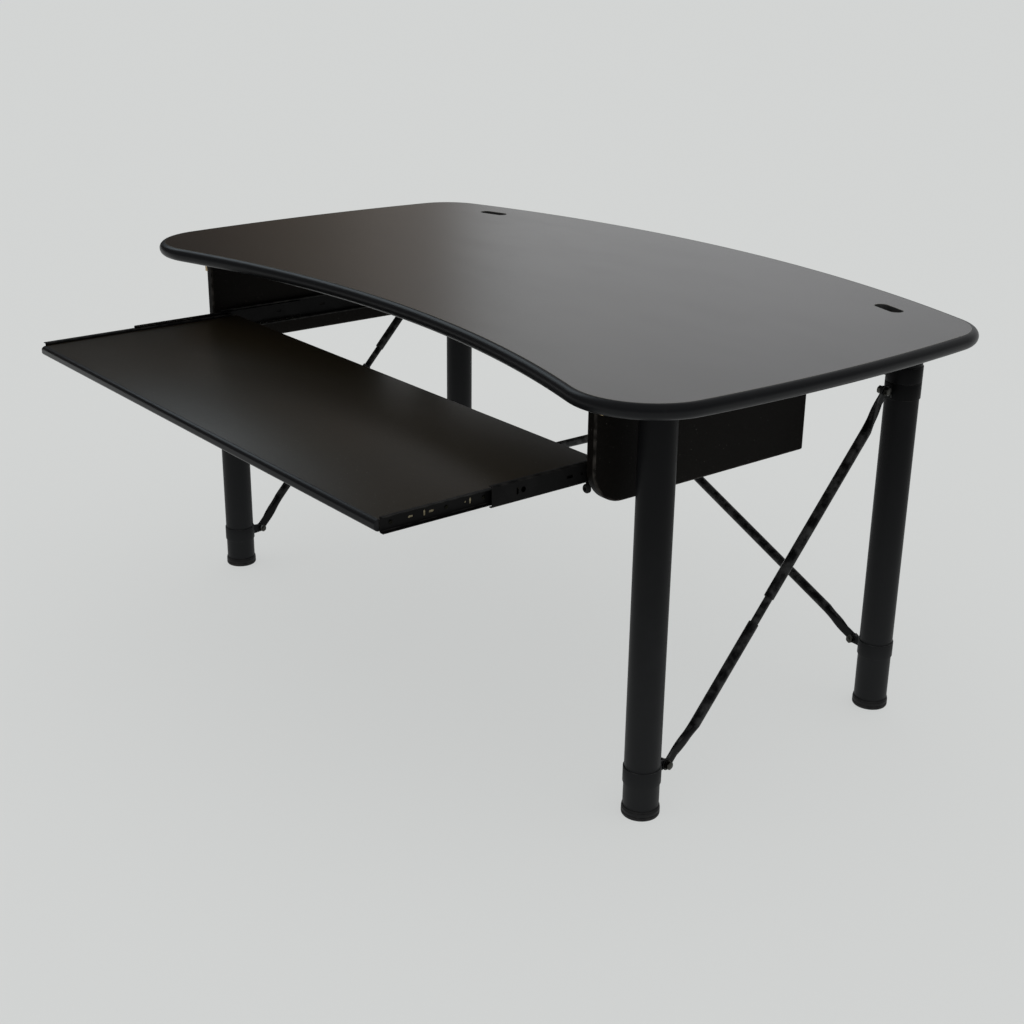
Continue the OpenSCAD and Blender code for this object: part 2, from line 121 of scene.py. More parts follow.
def circle(centre, radius, steps=32):
    """A circle, anticlockwise."""
    return arc(centre, radius, 0, 2 * math.pi, steps)[:-1]


def turned(points, angle, centre):
    """The points turned about centre."""
    turn = Matrix.Rotation(angle, 2)
    return [turn @ (p - centre) + centre for p in points]


def inset(points, distance):
    """An anticlockwise outline drawn in by distance, or let out if distance is negative."""
    moved = []
    for before, here, after in zip(points[-1:] + points[:-1], points, points[1:] + points[:1]):
        a = (here - before).normalized()
        b = (after - here).normalized()
        inward = Vector((-a.y - b.y, a.x + b.x)).normalized()
        lean = max(0.5, inward.dot(Vector((-a.y, a.x))))
        moved.append(here + inward * distance / lean)
    return moved


def ribbon(path, thick):
    """The outline of a strip of even thickness that follows an open path."""
    left, right = [], []
    for i, here in enumerate(path):
        along = (path[min(i + 1, len(path) - 1)] - path[max(i - 1, 0)]).normalized()
        across = Vector((-along.y, along.x)) * thick / 2
        left.append(here + across)
        right.append(here - across)
    return left + right[::-1]


# ---- shapes ----


class Shape:
    """Faces of one piece, collected in metres in the shared frame."""

    def __init__(self):
        self.mesh = bmesh.new()
        self.paint = 0

    def face(self, corners):
        """One face with the paint in use."""
        made = self.mesh.faces.new(corners)
        made.material_index = self.paint
        return made

    def skin(self, rings, caps=True, wrap=False):
        """Joins rings of points one after another. wrap joins the last ring to the first one."""
        loops = [[self.mesh.verts.new(p) for p in ring] for ring in rings]
        pairs = list(zip(loops, loops[1:])) + ([(loops[-1], loops[0])] if wrap else [])
        for a, b in pairs:
            for i in range(len(a)):
                j = (i + 1) % len(a)
                self.face((a[i], a[j], b[j], b[i]))
        if caps and not wrap:
            self.face(loops[0][::-1])
            self.face(loops[-1])
        return loops

    def lathe(self, profile, place, steps=ROUND_STEPS, wrap=False):
        """Turns (radius, height) points about the third axis of place. The two ends are closed flat."""
        rings = [[place @ p.to_3d() + place.to_3x3() @ Vector((0, 0, z)) for p in circle((0, 0), r, steps)]
                 for r, z in profile]
        self.skin(rings, wrap=wrap)

    def extrude(self, outline, start, end, place, ease=0.0):
        """Pushes an outline along the third axis of place, with its two end edges eased by a small radius."""
        levels = [(0.0, start), (0.0, end)]
        if ease:
            soft = [(ease * (1 - math.cos(a)), ease * (1 - math.sin(a)))
                    for a in (math.pi / 2 * i / 3 for i in range(4))]
            levels = [(d, start + h) for d, h in soft[::-1]] + [(d, end - h) for d, h in soft]
        self.skin([[place @ Vector((p.x, p.y, z)) for p in inset(outline, d)] for d, z in levels])

    def sheet(self, outline, holes, thick, place, ease, wall_paint=0):
        """A flat sheet with eased edges and holes. wall_paint is the finish of its edges."""
        levels = [(ease, 0.0), (0.0, ease), (0.0, thick - ease), (ease, thick)]
        ends = [[], []]
        self.paint = wall_paint
        for rim in [outline] + [h[::-1] for h in holes]:
            loops = self.skin([[place @ Vector((p.x, p.y, z)) for p in inset(rim, d)] for d, z in levels],
                              caps=False)
            ends[0].append((inset(rim, ease), loops[0]))
            ends[1].append((inset(rim, ease), loops[-1]))
        self.paint = 0
        for level in ends:
            flat = [p for rim, _ in level for p in rim]
            corners = [v for _, loop in level for v in loop]
            for triangle in tessellate_polygon([[p.to_3d() for p in rim] for rim, _ in level]):
                a, b, c = (flat[i] for i in triangle)
                if abs((b - a).cross(c - a)) > 1e-12:
                    self.face([corners[i] for i in triangle])

    def block(self, low, high, ease, steps=3):
        """A box with eased edges."""
        size = Vector(high) - Vector(low)
        made = bmesh.ops.create_cube(self.mesh, size=1.0)["verts"]
        for v in made:
            v.co = Vector(low) + Vector((size[i] * (v.co[i] + 0.5) for i in range(3)))
        edges = list({e for v in made for e in v.link_edges})
        self.paint_round(made)
        bmesh.ops.bevel(self.mesh, geom=edges, offset=ease, segments=steps, profile=0.5, affect="EDGES")

    def ball(self, centre, radius):
        """A steel ball."""
        made = bmesh.ops.create_icosphere(self.mesh, subdivisions=2, radius=radius)["verts"]
        bmesh.ops.translate(self.mesh, verts=made, vec=centre)
        self.paint_round(made)

    def paint_round(self, corners):
        """Gives the faces round these corners the paint in use."""
        for corner in corners:
            for face in corner.link_faces:
                face.material_index = self.paint

    def piece(self, name, body, slot, finishes, nodes):
        """Turns the faces into a piece that rides on a body and stands for its frame nodes."""
        bmesh.ops.recalc_face_normals(self.mesh, faces=self.mesh.faces)
        mesh = bpy.data.meshes.new(name)
        mark_edges(self.mesh)
        self.mesh.to_mesh(mesh)
        self.mesh.free()
        mesh.shade_smooth()
        mesh.set_sharp_from_angle(angle=SHARP_ANGLE)
        for finish in finishes:
            mesh.materials.append(finish)
        piece = bpy.data.objects.new(name, mesh)
        bpy.context.scene.collection.objects.link(piece)
        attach(piece, body)
        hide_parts(*nodes)


def mark_edges(mesh):
    """Marks the narrow faces that round off an edge, where handling polishes the finish first."""
    rub = mesh.faces.layers.float.new("rub")
    for face in mesh.faces:
        narrow = len(face.edges) == 4 and 0.2 * MM < min(e.calc_length() for e in face.edges) < 1.6 * MM
        bent = max(e.calc_face_angle(0.0) for e in face.edges) > math.radians(8)
        face[rub] = 1.0 if narrow and bent else 0.0


# ---- finishes ----


class Wire:
    """A number that varies over a surface, for use in a Python expression."""

    def __init__(self, finish, socket):
        self.finish = finish
        self.socket = socket

    def math(self, operation, *values):
        return self.finish.node("ShaderNodeMath", {"operation": operation}, dict(enumerate(values)))

    def __add__(self, other):
        return self.math("ADD", self, other)

    def __radd__(self, other):
        return self.math("ADD", other, self)

    def __sub__(self, other):
        return self.math("SUBTRACT", self, other)

    def __rsub__(self, other):
        return self.math("SUBTRACT", other, self)

    def __mul__(self, other):
        return self.math("MULTIPLY", self, other)

    def __rmul__(self, other):
        return self.math("MULTIPLY", other, self)


class Finish:
    """A node tree being built, for a material or for the world."""

    def __init__(self, owner):
        self.owner = owner
        owner.use_nodes = True
        self.tree = owner.node_tree

    def node(self, kind, settings=None, values=None, output=0):
        """Adds a node, sets it up, fills its sockets and returns one of its outputs."""
        made = self.tree.nodes.new(kind)
        for name, value in (settings or {}).items():
            if name == "stops":
                ramp = made.color_ramp
                while len(ramp.elements) < len(value):
                    ramp.elements.new(0.5)
                for stop, (place, shade) in zip(ramp.elements, value):
                    stop.position = place
                    stop.color = (shade, shade, shade, 1) if isinstance(shade, float) else (*shade, 1)
            else:
                setattr(made, name, value)
        for name, value in (values or {}).items():
            self.fill(made.inputs[name], value)
        return Wire(self, made.outputs[output])

    def fill(self, socket, value):
        """Links or sets one socket."""
        if isinstance(value, Wire):
            self.tree.links.new(value.socket, socket)
        elif hasattr(value, "__len__") and len(value) == 3 and len(socket.default_value) == 4:
            socket.default_value = (*value, 1)
        else:
            socket.default_value = value

    def where(self):
        """The place on the piece, in metres in the shared frame."""
        return self.node("ShaderNodeTexCoord", output="Object")

    def stretched(self, scale):
        """The place on the piece, scaled along each axis."""
        return self.node("ShaderNodeVectorMath", {"operation": "MULTIPLY"}, {0: self.where(), 1: scale})

    def height(self):
        """Height above the floor."""
        return self.node("ShaderNodeSeparateXYZ", values={0: self.where()}, output="Z")

    def noise(self, scale, detail=2.0, where=None, roughness=0.5):
        """Soft noise from 0 to 1. scale is in lumps a metre."""
        return self.node("ShaderNodeTexNoise", values={
            "Vector": where or self.where(), "Scale": scale, "Detail": detail, "Roughness": roughness})

    def step(self, value, low, high):
        """0 below low, 1 above high and a smooth rise between."""
        return self.node("ShaderNodeMapRange", {"interpolation_type": "SMOOTHSTEP"},
                         {"Value": value, "From Min": low, "From Max": high})

    def between(self, share, a, b):
        """A colour from a to b."""
        return self.node("ShaderNodeMix", {"data_type": "RGBA"}, {"Factor": share, 6: a, 7: b}, output=2)

    def rub(self):
        """1 on the faces that round off an edge, in patches."""
        edge = self.node("ShaderNodeAttribute", {"attribute_name": "rub"}, output="Fac")
        return edge * self.step(self.noise(60.0, 3.0), 0.35, 0.7)

    def surface(self, colour, roughness, height, bump, depth, others=None):
        """Sets the shader. height is the relief, and others holds more sockets by name."""
        shader = self.tree.nodes["Principled BSDF"]
        relief = self.node("ShaderNodeBump", values={"Strength": bump, "Distance": depth, "Height": height})
        sockets = {"Base Color": colour, "Roughness": roughness, "Normal": relief, **(others or {})}
        for name, value in sockets.items():
            self.fill(shader.inputs[name], value)
        return self.owner


def chosen():
    """The colours and gloss chosen in the sidebar."""
    return bpy.context.scene.desk_finishes


def scaled(colour, share):
    """A colour made darker or lighter by a share."""
    return [share * c for c in colour]


made_finishes = {}


def finish(maker):
    """Makes a finish once, and hands out the same material each time after that."""

    def once():
        if maker.__name__ not in made_finishes:
            made_finishes[maker.__name__] = maker(Finish(bpy.data.materials.new(maker.__name__)))
        return made_finishes[maker.__name__]

    return once


def black_laminate(f, dark, brown, shine, specular):
    """Satin black laminate: pressed pebble texture, faint cloudy colour and hand smears in the gloss."""
    cloud = f.noise(2.2, 4.0)
    smear = f.step(f.noise(5.0, 5.0, f.stretched((1.0, 2.6, 1.0))), 0.35, 0.75)
    pebble = f.node("ShaderNodeTexVoronoi", {"feature": "SMOOTH_F1"},
                    {"Vector": f.where(), "Scale": 520.0, "Smoothness": 0.6})
    fleck = f.step(f.noise(900.0, 1.0), 0.62, 0.72)
    dust = f.step(f.noise(310.0, 1.0), 0.76, 0.80)
    colour = f.between(cloud, dark, brown)
    colour = f.between(fleck * 0.35, colour, (0.04, 0.037, 0.034))
    colour = f.between(dust * 0.4, colour, (0.16, 0.15, 0.14))
    worn = f.rub()
    colour = f.between(worn * 0.3, colour, (0.11, 0.10, 0.09))
    rough = shine + smear * 0.018 - worn * 0.06 + f.noise(160.0, 2.0) * 0.03
    height = pebble + f.noise(140.0, 2.0) * 0.35
    return f.surface(colour, rough, height, 0.2, 0.00012, {"Specular IOR Level": specular})


@finish
def top_laminate(f):
    look = chosen()
    return black_laminate(f, look.laminate_dark, look.laminate_brown, look.laminate_roughness - 0.10, 0.5)


@finish
def tray_laminate(f):
    look = chosen()
    warmth = (1.0, 0.86, 0.50)
    dark, brown = ([w * c for w, c in zip(warmth, colour)]
                   for colour in (look.laminate_dark, look.laminate_brown))
    return black_laminate(f, dark, brown, look.laminate_roughness + 0.04, 0.17)


@finish
def panel_laminate(f):
    look = chosen()
    return black_laminate(f, scaled(look.laminate_dark, 0.25), scaled(look.laminate_brown, 0.3), 0.50, 0.05)


@finish
def edge_moulding(f):
    """Extruded black edge band: smooth along its length with fine draw lines and a few scuffs."""
    black = chosen().moulding_colour
    lines = f.noise(1.0, 3.0, f.stretched((6.0, 6.0, 900.0)))
    scuff = f.step(f.noise(38.0, 6.0, roughness=0.7), 0.60, 0.72)
    colour = f.between(f.noise(7.0, 3.0), black, scaled(black, 1.5))
    colour = f.between(scuff * 0.12, colour, (0.05, 0.053, 0.057))
    rough = 0.33 + scuff * 0.12 + f.noise(24.0, 2.0) * 0.05
    return f.surface(colour, rough, lines + f.noise(420.0, 2.0) * 0.5, 0.12, 0.0001,
                     {"Specular IOR Level": 0.16})


def powder_coat(f, colour, rough, specular=0.055, dust_and_shade=1.0):
    """Baked powder coat: fine orange peel, polished along its edges, and lighter towards the floor, partly
    from dust and partly from painted shade that keeps the upper legs dark under the top.
    """
    # Height mask for the lightening towards the floor: partly dust, partly painted shade, since the upper
    # legs stand darker in the shadow of the top.
    low = f.step(f.height(), 0.66, 0.02)
    peel = f.noise(620.0, 2.0)
    grit = f.step(f.noise(1500.0, 1.0), 0.66, 0.74)
    dusty = f.step(f.noise(9.0, 5.0, roughness=0.6), 0.45, 0.8)
    worn = f.rub()
    shade = f.between(dusty * 0.5, colour, scaled(colour, 1.9))
    # Painted shade and dust together: lighter low down and darker up under the top, scaled by the fourth
    # argument (little on the braces).
    shade = f.between(low * dust_and_shade * (0.75 + dusty * 0.25), shade, (0.018, 0.0187, 0.0195))
    shade = f.between(worn * 0.45, shade, (0.07, 0.07, 0.07))
    gloss = rough + dusty * 0.08 - worn * 0.12 + f.noise(45.0, 3.0) * 0.05
    return f.surface(shade, gloss, peel + grit * 0.6, 0.25, 0.00015, {"Specular IOR Level": specular})


@finish
def leg_powder_coat(f):
    return powder_coat(f, chosen().powder_colour, 0.40)


@finish
def brace_powder_coat(f):
    return powder_coat(f, scaled(chosen().powder_colour, 0.3), 0.22, 0.1, 0.15)


@finish
def bracket_coat(f):
    return powder_coat(f, scaled(chosen().powder_colour, 0.6), 0.42)


@finish
def slide_steel(f):
    """Blackened slide steel with a film of grease and long draw marks."""
    draw = f.noise(1.0, 4.0, f.stretched((500.0, 4.0, 500.0)))
    grease = f.step(f.noise(30.0, 4.0), 0.45, 0.7)
    worn = f.rub()
    colour = f.between(draw * 0.6, (0.0025, 0.0025, 0.0026), (0.007, 0.0068, 0.0065))
    colour = f.between(worn * 0.25, colour, (0.07, 0.067, 0.063))
    rough = 0.44 - grease * 0.14 + draw * 0.06
    return f.surface(colour, rough, draw + f.noise(800.0, 1.0) * 0.4, 0.18, 0.0001,
                     {"Specular IOR Level": 0.07, "Metallic": worn * 0.3})


def plated(f, colour, rough):
    """Plated steel with a cloudy bloom and fine tool marks."""
    bloom = f.noise(170.0, 4.0)
    marks = f.noise(1.0, 2.0, f.stretched((2500.0, 2500.0, 300.0)))
    shade = f.between(bloom, colour, scaled(colour, 0.62))
    shade = f.between(f.rub() * 0.35, shade, scaled(colour, 2.2))
    return f.surface(shade, rough + bloom * 0.18, marks, 0.15, 0.00008, {"Metallic": 1.0})


@finish
def zinc_plate(f):
    return plated(f, (0.062, 0.061, 0.055), 0.24)


@finish
def dull_zinc(f):
    return plated(f, (0.018, 0.0175, 0.013), 0.40)


@finish
def ball_steel(f):
    return plated(f, (0.60, 0.59, 0.57), 0.14)


@finish
def retainer_steel(f):
    return plated(f, (0.33, 0.31, 0.26), 0.34)


@finish
def foot_plastic(f):
    """Moulded black foot: fine spark texture, scuffed grey near the floor."""
    low = f.step(f.height(), 0.012, 0.0)
    scuff = low * f.step(f.noise(120.0, 5.0), 0.4, 0.65)
    colour = f.between(f.noise(18.0, 3.0), (0.009, 0.009, 0.0095), (0.015, 0.015, 0.0155))
    colour = f.between(scuff * 0.4 + f.rub() * 0.12, colour, (0.07, 0.067, 0.063))
    rough = 0.46 + scuff * 0.25 + f.noise(60.0, 2.0) * 0.06
    return f.surface(colour, rough, f.noise(950.0, 2.0), 0.3, 0.00015, {"Specular IOR Level": 0.12})


@finish
def liner_plastic(f):
    """Matt black liner of a cable slot, rubbed by the cables at its rim."""
    colour = f.between(f.rub() * 0.5, (0.009, 0.009, 0.009), (0.05, 0.05, 0.05))
    return f.surface(colour, 0.5 + f.noise(80.0, 3.0) * 0.1, f.noise(1100.0, 2.0), 0.25, 0.0001)


@finish
def bumper_rubber(f):
    """Black rubber with a dusty bloom."""
    bloom = f.step(f.noise(140.0, 4.0), 0.4, 0.8)
    colour = f.between(bloom * 0.6, (0.005, 0.005, 0.005), (0.014, 0.0135, 0.013))
    return f.surface(colour, 0.62 + bloom * 0.15, f.noise(700.0, 3.0), 0.3, 0.0002,
                     {"Specular IOR Level": 0.15})


@finish
def bare_wood(f):
    """Sawn softwood: long grain with growth rings, a few darker streaks and saw marks across."""
    along = f.stretched((60.0, 3.0, 60.0))
    rings = f.node("ShaderNodeTexWave", {"wave_type": "RINGS", "rings_direction": "Y"},
                   {"Vector": along, "Scale": 1.1, "Distortion": 5.0, "Detail": 3.0, "Detail Scale": 1.4})
    streak = f.noise(1.0, 5.0, f.stretched((700.0, 14.0, 700.0)))
    saw = f.node("ShaderNodeTexWave", {"bands_direction": "Y"},
                 {"Vector": f.where(), "Scale": 120.0, "Distortion": 2.0})
    colour = f.between(rings, (0.50, 0.37, 0.20), (0.66, 0.53, 0.33))
    colour = f.between(f.step(streak, 0.5, 0.75) * 0.6, colour, (0.30, 0.20, 0.10))
    return f.surface(colour, 0.72 + streak * 0.15, streak + saw * 0.5 + rings * 0.3, 0.4, 0.0003)


@finish
def chip_core(f):
    """The raw edge of particle board: pale and dark chips pressed together."""
    chips = f.node("ShaderNodeTexVoronoi", values={"Vector": f.stretched((1.0, 0.5, 1.7)), "Scale": 420.0},
                   output="Color")
    tone = f.node("ShaderNodeSeparateXYZ", values={0: chips}, output="X")
    colour = f.between(tone, (0.13, 0.11, 0.065), (0.29, 0.255, 0.165))
    colour = f.between(f.step(f.noise(600.0, 2.0), 0.60, 0.7) * 0.6, colour, (0.14, 0.09, 0.05))
    return f.surface(colour, 0.82 + tone * 0.1, tone + f.noise(900.0, 2.0), 0.5, 0.0004)


@finish
def studio_floor(f):
    """Pale matt floor with a barely visible mottle. It glows a little, so that shadows on it stay faint."""
    tone = bpy.context.scene.desk_stage.floor_tone
    colour = f.between(f.noise(1.5, 3.0), (tone, tone * 1.01, tone), (tone * 0.99, tone, tone * 0.99))
    return f.surface(colour, 0.9, f.noise(60.0, 2.0), 0.05, 0.0005, {
        "Specular IOR Level": 0.0, "Emission Color": (0.99, 1.01, 1.0), "Emission Strength": 0.52})


# ---- settings ----


def length_setting(name, description, default):
    """A length that a user may change."""
    return FloatProperty(name=name, description=description, default=default, unit="LENGTH")


def angle_setting(name, description, default):
    """An angle that a user may change."""
    return FloatProperty(name=name, description=description, default=default, subtype="ANGLE")


def share_setting(name, description, default, least=0.0, most=1.0):
    """A share that a user may change."""
    return FloatProperty(name=name, description=description, default=default, min=least, max=most,
                         subtype="FACTOR")


def colour_setting(name, description, default):
    """A colour that a user may change."""
    return FloatVectorProperty(name=name, description=description, default=default, min=0, max=1,
                               subtype="COLOR")


class FinishSettings(bpy.types.PropertyGroup):
    """Colours and gloss of the desk's finishes."""

    laminate_dark: colour_setting("Laminate, dark", "Darker tone of the laminate", (0.010, 0.009, 0.008))
    laminate_brown: colour_setting("Laminate, brown", "Warmer tone of the laminate", (0.020, 0.016, 0.012))
    laminate_roughness: share_setting("Laminate roughness", "Dullness of the laminate", 0.30, 0.1, 0.8)
    moulding_colour: colour_setting("Edge moulding", "Colour of the edge mouldings", (0.0045, 0.0048, 0.0055))
    powder_colour: colour_setting("Powder coat", "Colour of the legs and braces", (0.0058, 0.0060, 0.0065))


class TopSettings(bpy.types.PropertyGroup):
    """Shape of the desk top."""

    rear_bow: length_setting("Rear bow", "Radius of the rear edge", 2.140)
    front_hollow: length_setting("Front hollow", "Radius of the hollow front edge", 2.050)
    side_bow: length_setting("Side bow", "Radius of the side edges", 3.175)
    side_bow_y: length_setting("Widest place", "Distance of the widest place behind the front legs", 0.282)
    front_y: length_setting("Front edge", "Distance of the front edge ahead of the front legs", 0.046)
    rear_corner: length_setting("Rear corners", "Radius of the rear corners", 0.118)
    front_corner: length_setting("Front corners", "Radius of the front corners", 0.135)
    slot_long: length_setting("Cable slot length", "Overall length of a cable slot", 0.068)
    slot_wide: length_setting("Cable slot width", "Width of a cable slot", 0.027)


class BraceSettings(bpy.types.PropertyGroup):
    """Places of the brace bolts."""

    ear_reach: length_setting("Ear reach", "Distance of a brace bolt from the leg axis", 0.054)
    side_low: length_setting("Side brace, low bolt", "Height of the lower bolts of the side braces", 0.071)
    side_high: length_setting("Side brace, high bolt", "Height of the upper bolts of the side braces", 0.620)
    rear_low: length_setting("Rear brace, low bolt", "Mean height of the lower rear bolts", 0.1175)
    rear_high: length_setting("Rear brace, high bolt", "Height of the upper rear bolts", 0.637)
    cross_step: length_setting("Crossing step", "Half of the height between the lower rear bolts", 0.0045)
    rod_shown: length_setting("Rod shown", "Length of rod between the two tubes of a brace", 0.050)


class StageSettings(bpy.types.PropertyGroup):
    """Floor, light and camera."""

    floor_tone: share_setting("Floor tone", "Lightness of the floor", 0.17, 0.1, 0.95)
    sky_strength: FloatProperty(name="Soft light", description="Strength of the light from all round",
                                default=1.0, min=0, max=4)
    wall_strength: FloatProperty(name="Wall", description="Brightness of the pale wall behind the desk",
                                 default=0.74, min=0, max=4)
    window_power: FloatProperty(name="Side light", description="Power of the far window on the left",
                                default=190.0, min=0, unit="POWER")
    camera_place: FloatVectorProperty(name="Camera place", description="Where the camera stands",
                                      default=(2.23203, -1.72091, 1.37230), subtype="TRANSLATION",
                                      unit="LENGTH")
    camera_turn: angle_setting("Camera turn", "Turn of the view from straight back to the left", 0.89341)
    camera_tilt: angle_setting("Camera tilt", "Tilt of the view below the horizon", 0.3687)
    camera_roll: angle_setting("Camera roll", "Roll of the view about its own axis", 0.01251)
    lens: FloatProperty(name="Lens", description="Focal length on a 36 mm wide sensor",
                        default=54.29, min=10, max=300, unit="CAMERA")


# ---- the top ----


def crossing(c1, r1, c2, r2):
    """Where two circles cross, on the left of the way from the first centre to the second."""
    way = c2 - c1
    along = (r1 * r1 - r2 * r2 + way.length_squared) / (2 * way.length)
    aside = math.sqrt(r1 * r1 - along * along)
    way.normalize()
    return c1 + way * along + Vector((-way.y, way.x)) * aside


def heading(start, end):
    """Direction from one point to another, in radians."""
    return math.atan2(end.y - start.y, end.x - start.x)


def top_outline(draw_in):
    """The bowed outline of the top, anticlockwise, drawn in evenly by a distance."""
    top = bpy.context.scene.desk_top
    low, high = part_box("desk_top_edge")
    rear = Vector((0, high.y - top.rear_bow))
    front = Vector((0, FRONT_LEG.y - top.front_y - top.front_hollow))
    side = Vector((high.x - top.side_bow, FRONT_LEG.y + top.side_bow_y))
    rear_corner = crossing(side, top.side_bow - top.rear_corner, rear, top.rear_bow - top.rear_corner)
    front_corner = crossing(side, top.side_bow - top.front_corner, front, top.front_hollow + top.front_corner)
    front_end = heading(front, front_corner)
    side_start = heading(side, front_corner)
    side_end = heading(side, rear_corner)
    rear_start = heading(rear, rear_corner)
    half = arc(front, top.front_hollow + draw_in, math.pi / 2, front_end, 40)
    half += arc(front_corner, top.front_corner - draw_in, front_end - math.pi, side_start, 20)[1:]
    half += arc(side, top.side_bow - draw_in, side_start, side_end, 24)[1:]
    half += arc(rear_corner, top.rear_corner - draw_in, side_end, rear_start, 20)[1:]
    half += arc(rear, top.rear_bow - draw_in, rear_start, math.pi / 2, 40)[1:]
    return half + [Vector((-p.x, p.y)) for p in half[-2:0:-1]]


def slot_outline(side, grow=0.0):
    """The outline of a cable slot, turned to follow the rear edge."""
    top = bpy.context.scene.desk_top
    spot = middle(f"cable_slot_liner_{side}").to_2d()
    rear = Vector((0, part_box("desk_top_edge")[1].y - top.rear_bow))
    turn = heading(rear, spot) - math.pi / 2
    wide = top.slot_wide + 2 * grow
    shape = rounded_rectangle(spot, top.slot_long + 2 * grow, wide, wide / 2 - 1e-6, 12)
    return turned(shape, turn, spot)


class DESK_OT_top(bpy.types.Operator):
    """Laminated board of the top, its rounded edge moulding and the liners of its cable slots"""

    bl_idname = "desk.top"
    bl_label = "Desk top"

    seam: length_setting("Seam", "Gap between the board and its moulding", 0.00004)
    lip: length_setting("Lip", "Rounding of the edges beside the seam", 0.00012)

    def execute(self, context):
        low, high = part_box("desk_top_edge")
        radius = (high.z - low.z) / 2
        self.board(low.z, high.z, radius)
        self.moulding(low.z, high.z, radius)
        for side in SIDES:
            self.liner(side)
        return {"FINISHED"}

    def board(self, low_z, high_z, radius):
        board = Shape()
        board.sheet(top_outline(radius + self.seam), [slot_outline(s) for s in SIDES], high_z - low_z,
                    Matrix.Translation((0, 0, low_z)), self.lip, 1)
        board.piece("top_board", "desk", "top_laminate", [top_laminate(), chip_core()], ["desk_top"])

    def moulding(self, low_z, high_z, radius):
        flat = 1.2 * MM
        start = math.asin(flat / radius)
        turns = [start + (math.pi - 2 * start) * i / 20 for i in range(21)]
        inner = radius - self.seam
        profile = [(inner, high_z - self.lip), (inner - self.lip, high_z), (radius - flat, high_z)]
        profile += [(radius - radius * math.sin(a), low_z + radius + radius * math.cos(a)) for a in turns]
        profile += [(radius - flat, low_z), (inner - self.lip, low_z), (inner, low_z + self.lip)]
        moulding = Shape()
        moulding.skin([[Vector((p.x, p.y, z)) for p in top_outline(d)] for d, z in profile], wrap=True)
        moulding.piece("top_edge_moulding", "desk", "edge_moulding", [edge_moulding()], ["desk_top_edge"])

    def liner(self, side):
        node = f"cable_slot_liner_{side}"
        bottom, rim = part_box(node)
        wall = 1.5 * MM
        levels = [(0.05 * MM, bottom.z), (0.05 * MM, rim.z - 0.3 * MM), (0.4 * MM, rim.z - 0.05 * MM),
                  (wall - 0.3 * MM, rim.z - 0.1 * MM), (wall, rim.z - 0.6 * MM), (wall, bottom.z)]
        liner = Shape()
        liner.skin([[Vector((p.x, p.y, z)) for p in slot_outline(side, -d)] for d, z in levels], wrap=True)
        liner.piece(f"slot_liner_{side}", "desk", "slot_liner", [liner_plastic()], [node])


# ---- side panels ----


class DESK_OT_panels(bpy.types.Operator):
    """Side panels with rounded edges, their wooden cleats and the rubber bumpers"""

    bl_idname = "desk.panels"
    bl_label = "Side panels"

    edge: length_setting("Edge rounding", "Radius of the edges of a panel", 0.0035)
    front_corner: length_setting("Front corner", "Radius of the lower front corner", 0.062)
    rear_corner: length_setting("Rear corner", "Radius of the lower rear corner", 0.004)

    def outline(self, low, high):
        """The panel seen from the right as (y, z) points, anticlockwise from its upper rear corner."""
        front, rear = self.front_corner, self.rear_corner
        return without_repeats(
            [Vector((high.y, high.z)), Vector((low.y, high.z))]
            + [Vector((low.y, high.z - (high.z - low.z - front) * i / 4)) for i in (1, 2, 3)]
            + arc((low.y + front, low.z + front), front, math.pi, math.pi * 1.5, 16)
            + arc((high.y - rear, low.z + rear), rear, math.pi * 1.5, math.pi * 2, 8))

    def execute(self, context):
        for side in SIDES:
            self.panel(side)
            self.cleat(side)
            self.bumper(side)
        return {"FINISHED"}

    def panel(self, side):
        node = f"side_panel_{side}"
        low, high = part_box(node)
        place = basis(Vector((low.x, 0, 0)), Vector((0, 1, 0)), UP, Vector((1, 0, 0)))
        outline = self.outline(low, high)
        turns = [math.pi / 2 * i / 6 for i in range(7)]
        soft = [(self.edge * (1 - math.sin(a)), self.edge * (1 - math.cos(a))) for a in turns]
        rings = []
        for draw_in, depth in soft + [(d, high.x - low.x - h) for d, h in soft[::-1]]:
            ring = [Vector((p.x, min(p.y, high.z), depth)) for p in inset(outline, draw_in)]
            ring[0].y = ring[1].y = high.z
            rings.append([place @ p for p in ring])
        panel = Shape()
        panel.skin(rings)
        panel.piece(f"panel_{side}", "desk", "panel_laminate", [panel_laminate()], [node])

    def cleat(self, side):
        node = f"panel_cleat_{side}"
        low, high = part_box(node)
        cleat = Shape()
        cleat.block(low, high, 0.6 * MM, 2)
        cleat.piece(f"cleat_{side}", "desk", "raw_wood", [bare_wood()], [node])

    def bumper(self, side):
        node = f"edge_bumper_{side}"
        low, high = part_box(node)
        spot = middle(node)
        r = (high.x - low.x) / 2
        long = high.y - low.y
        place = basis(Vector((spot.x, high.y, spot.z)), Vector((1, 0, 0)), UP, Vector((0, -1, 0)))
        profile = [(2 * MM, 0), (r - 1 * MM, 0), (r - 0.3 * MM, 0.4 * MM), (r, 1.4 * MM), (r, 4.2 * MM),
                   (r - 0.5 * MM, 5.4 * MM), (r - 1.4 * MM, long - 0.6 * MM), (r - 2.2 * MM, long),
                   (3.4 * MM, long), (2.9 * MM, long - 0.4 * MM), (2.8 * MM, long - 2.4 * MM),
                   (2 * MM, long - 2.6 * MM)]
        bumper = Shape()
        bumper.lathe(profile, place, 48, wrap=True)
        bumper.piece(f"bumper_{side}", "desk", "bumper_rubber", [bumper_rubber()], [node])


# ---- tray ----


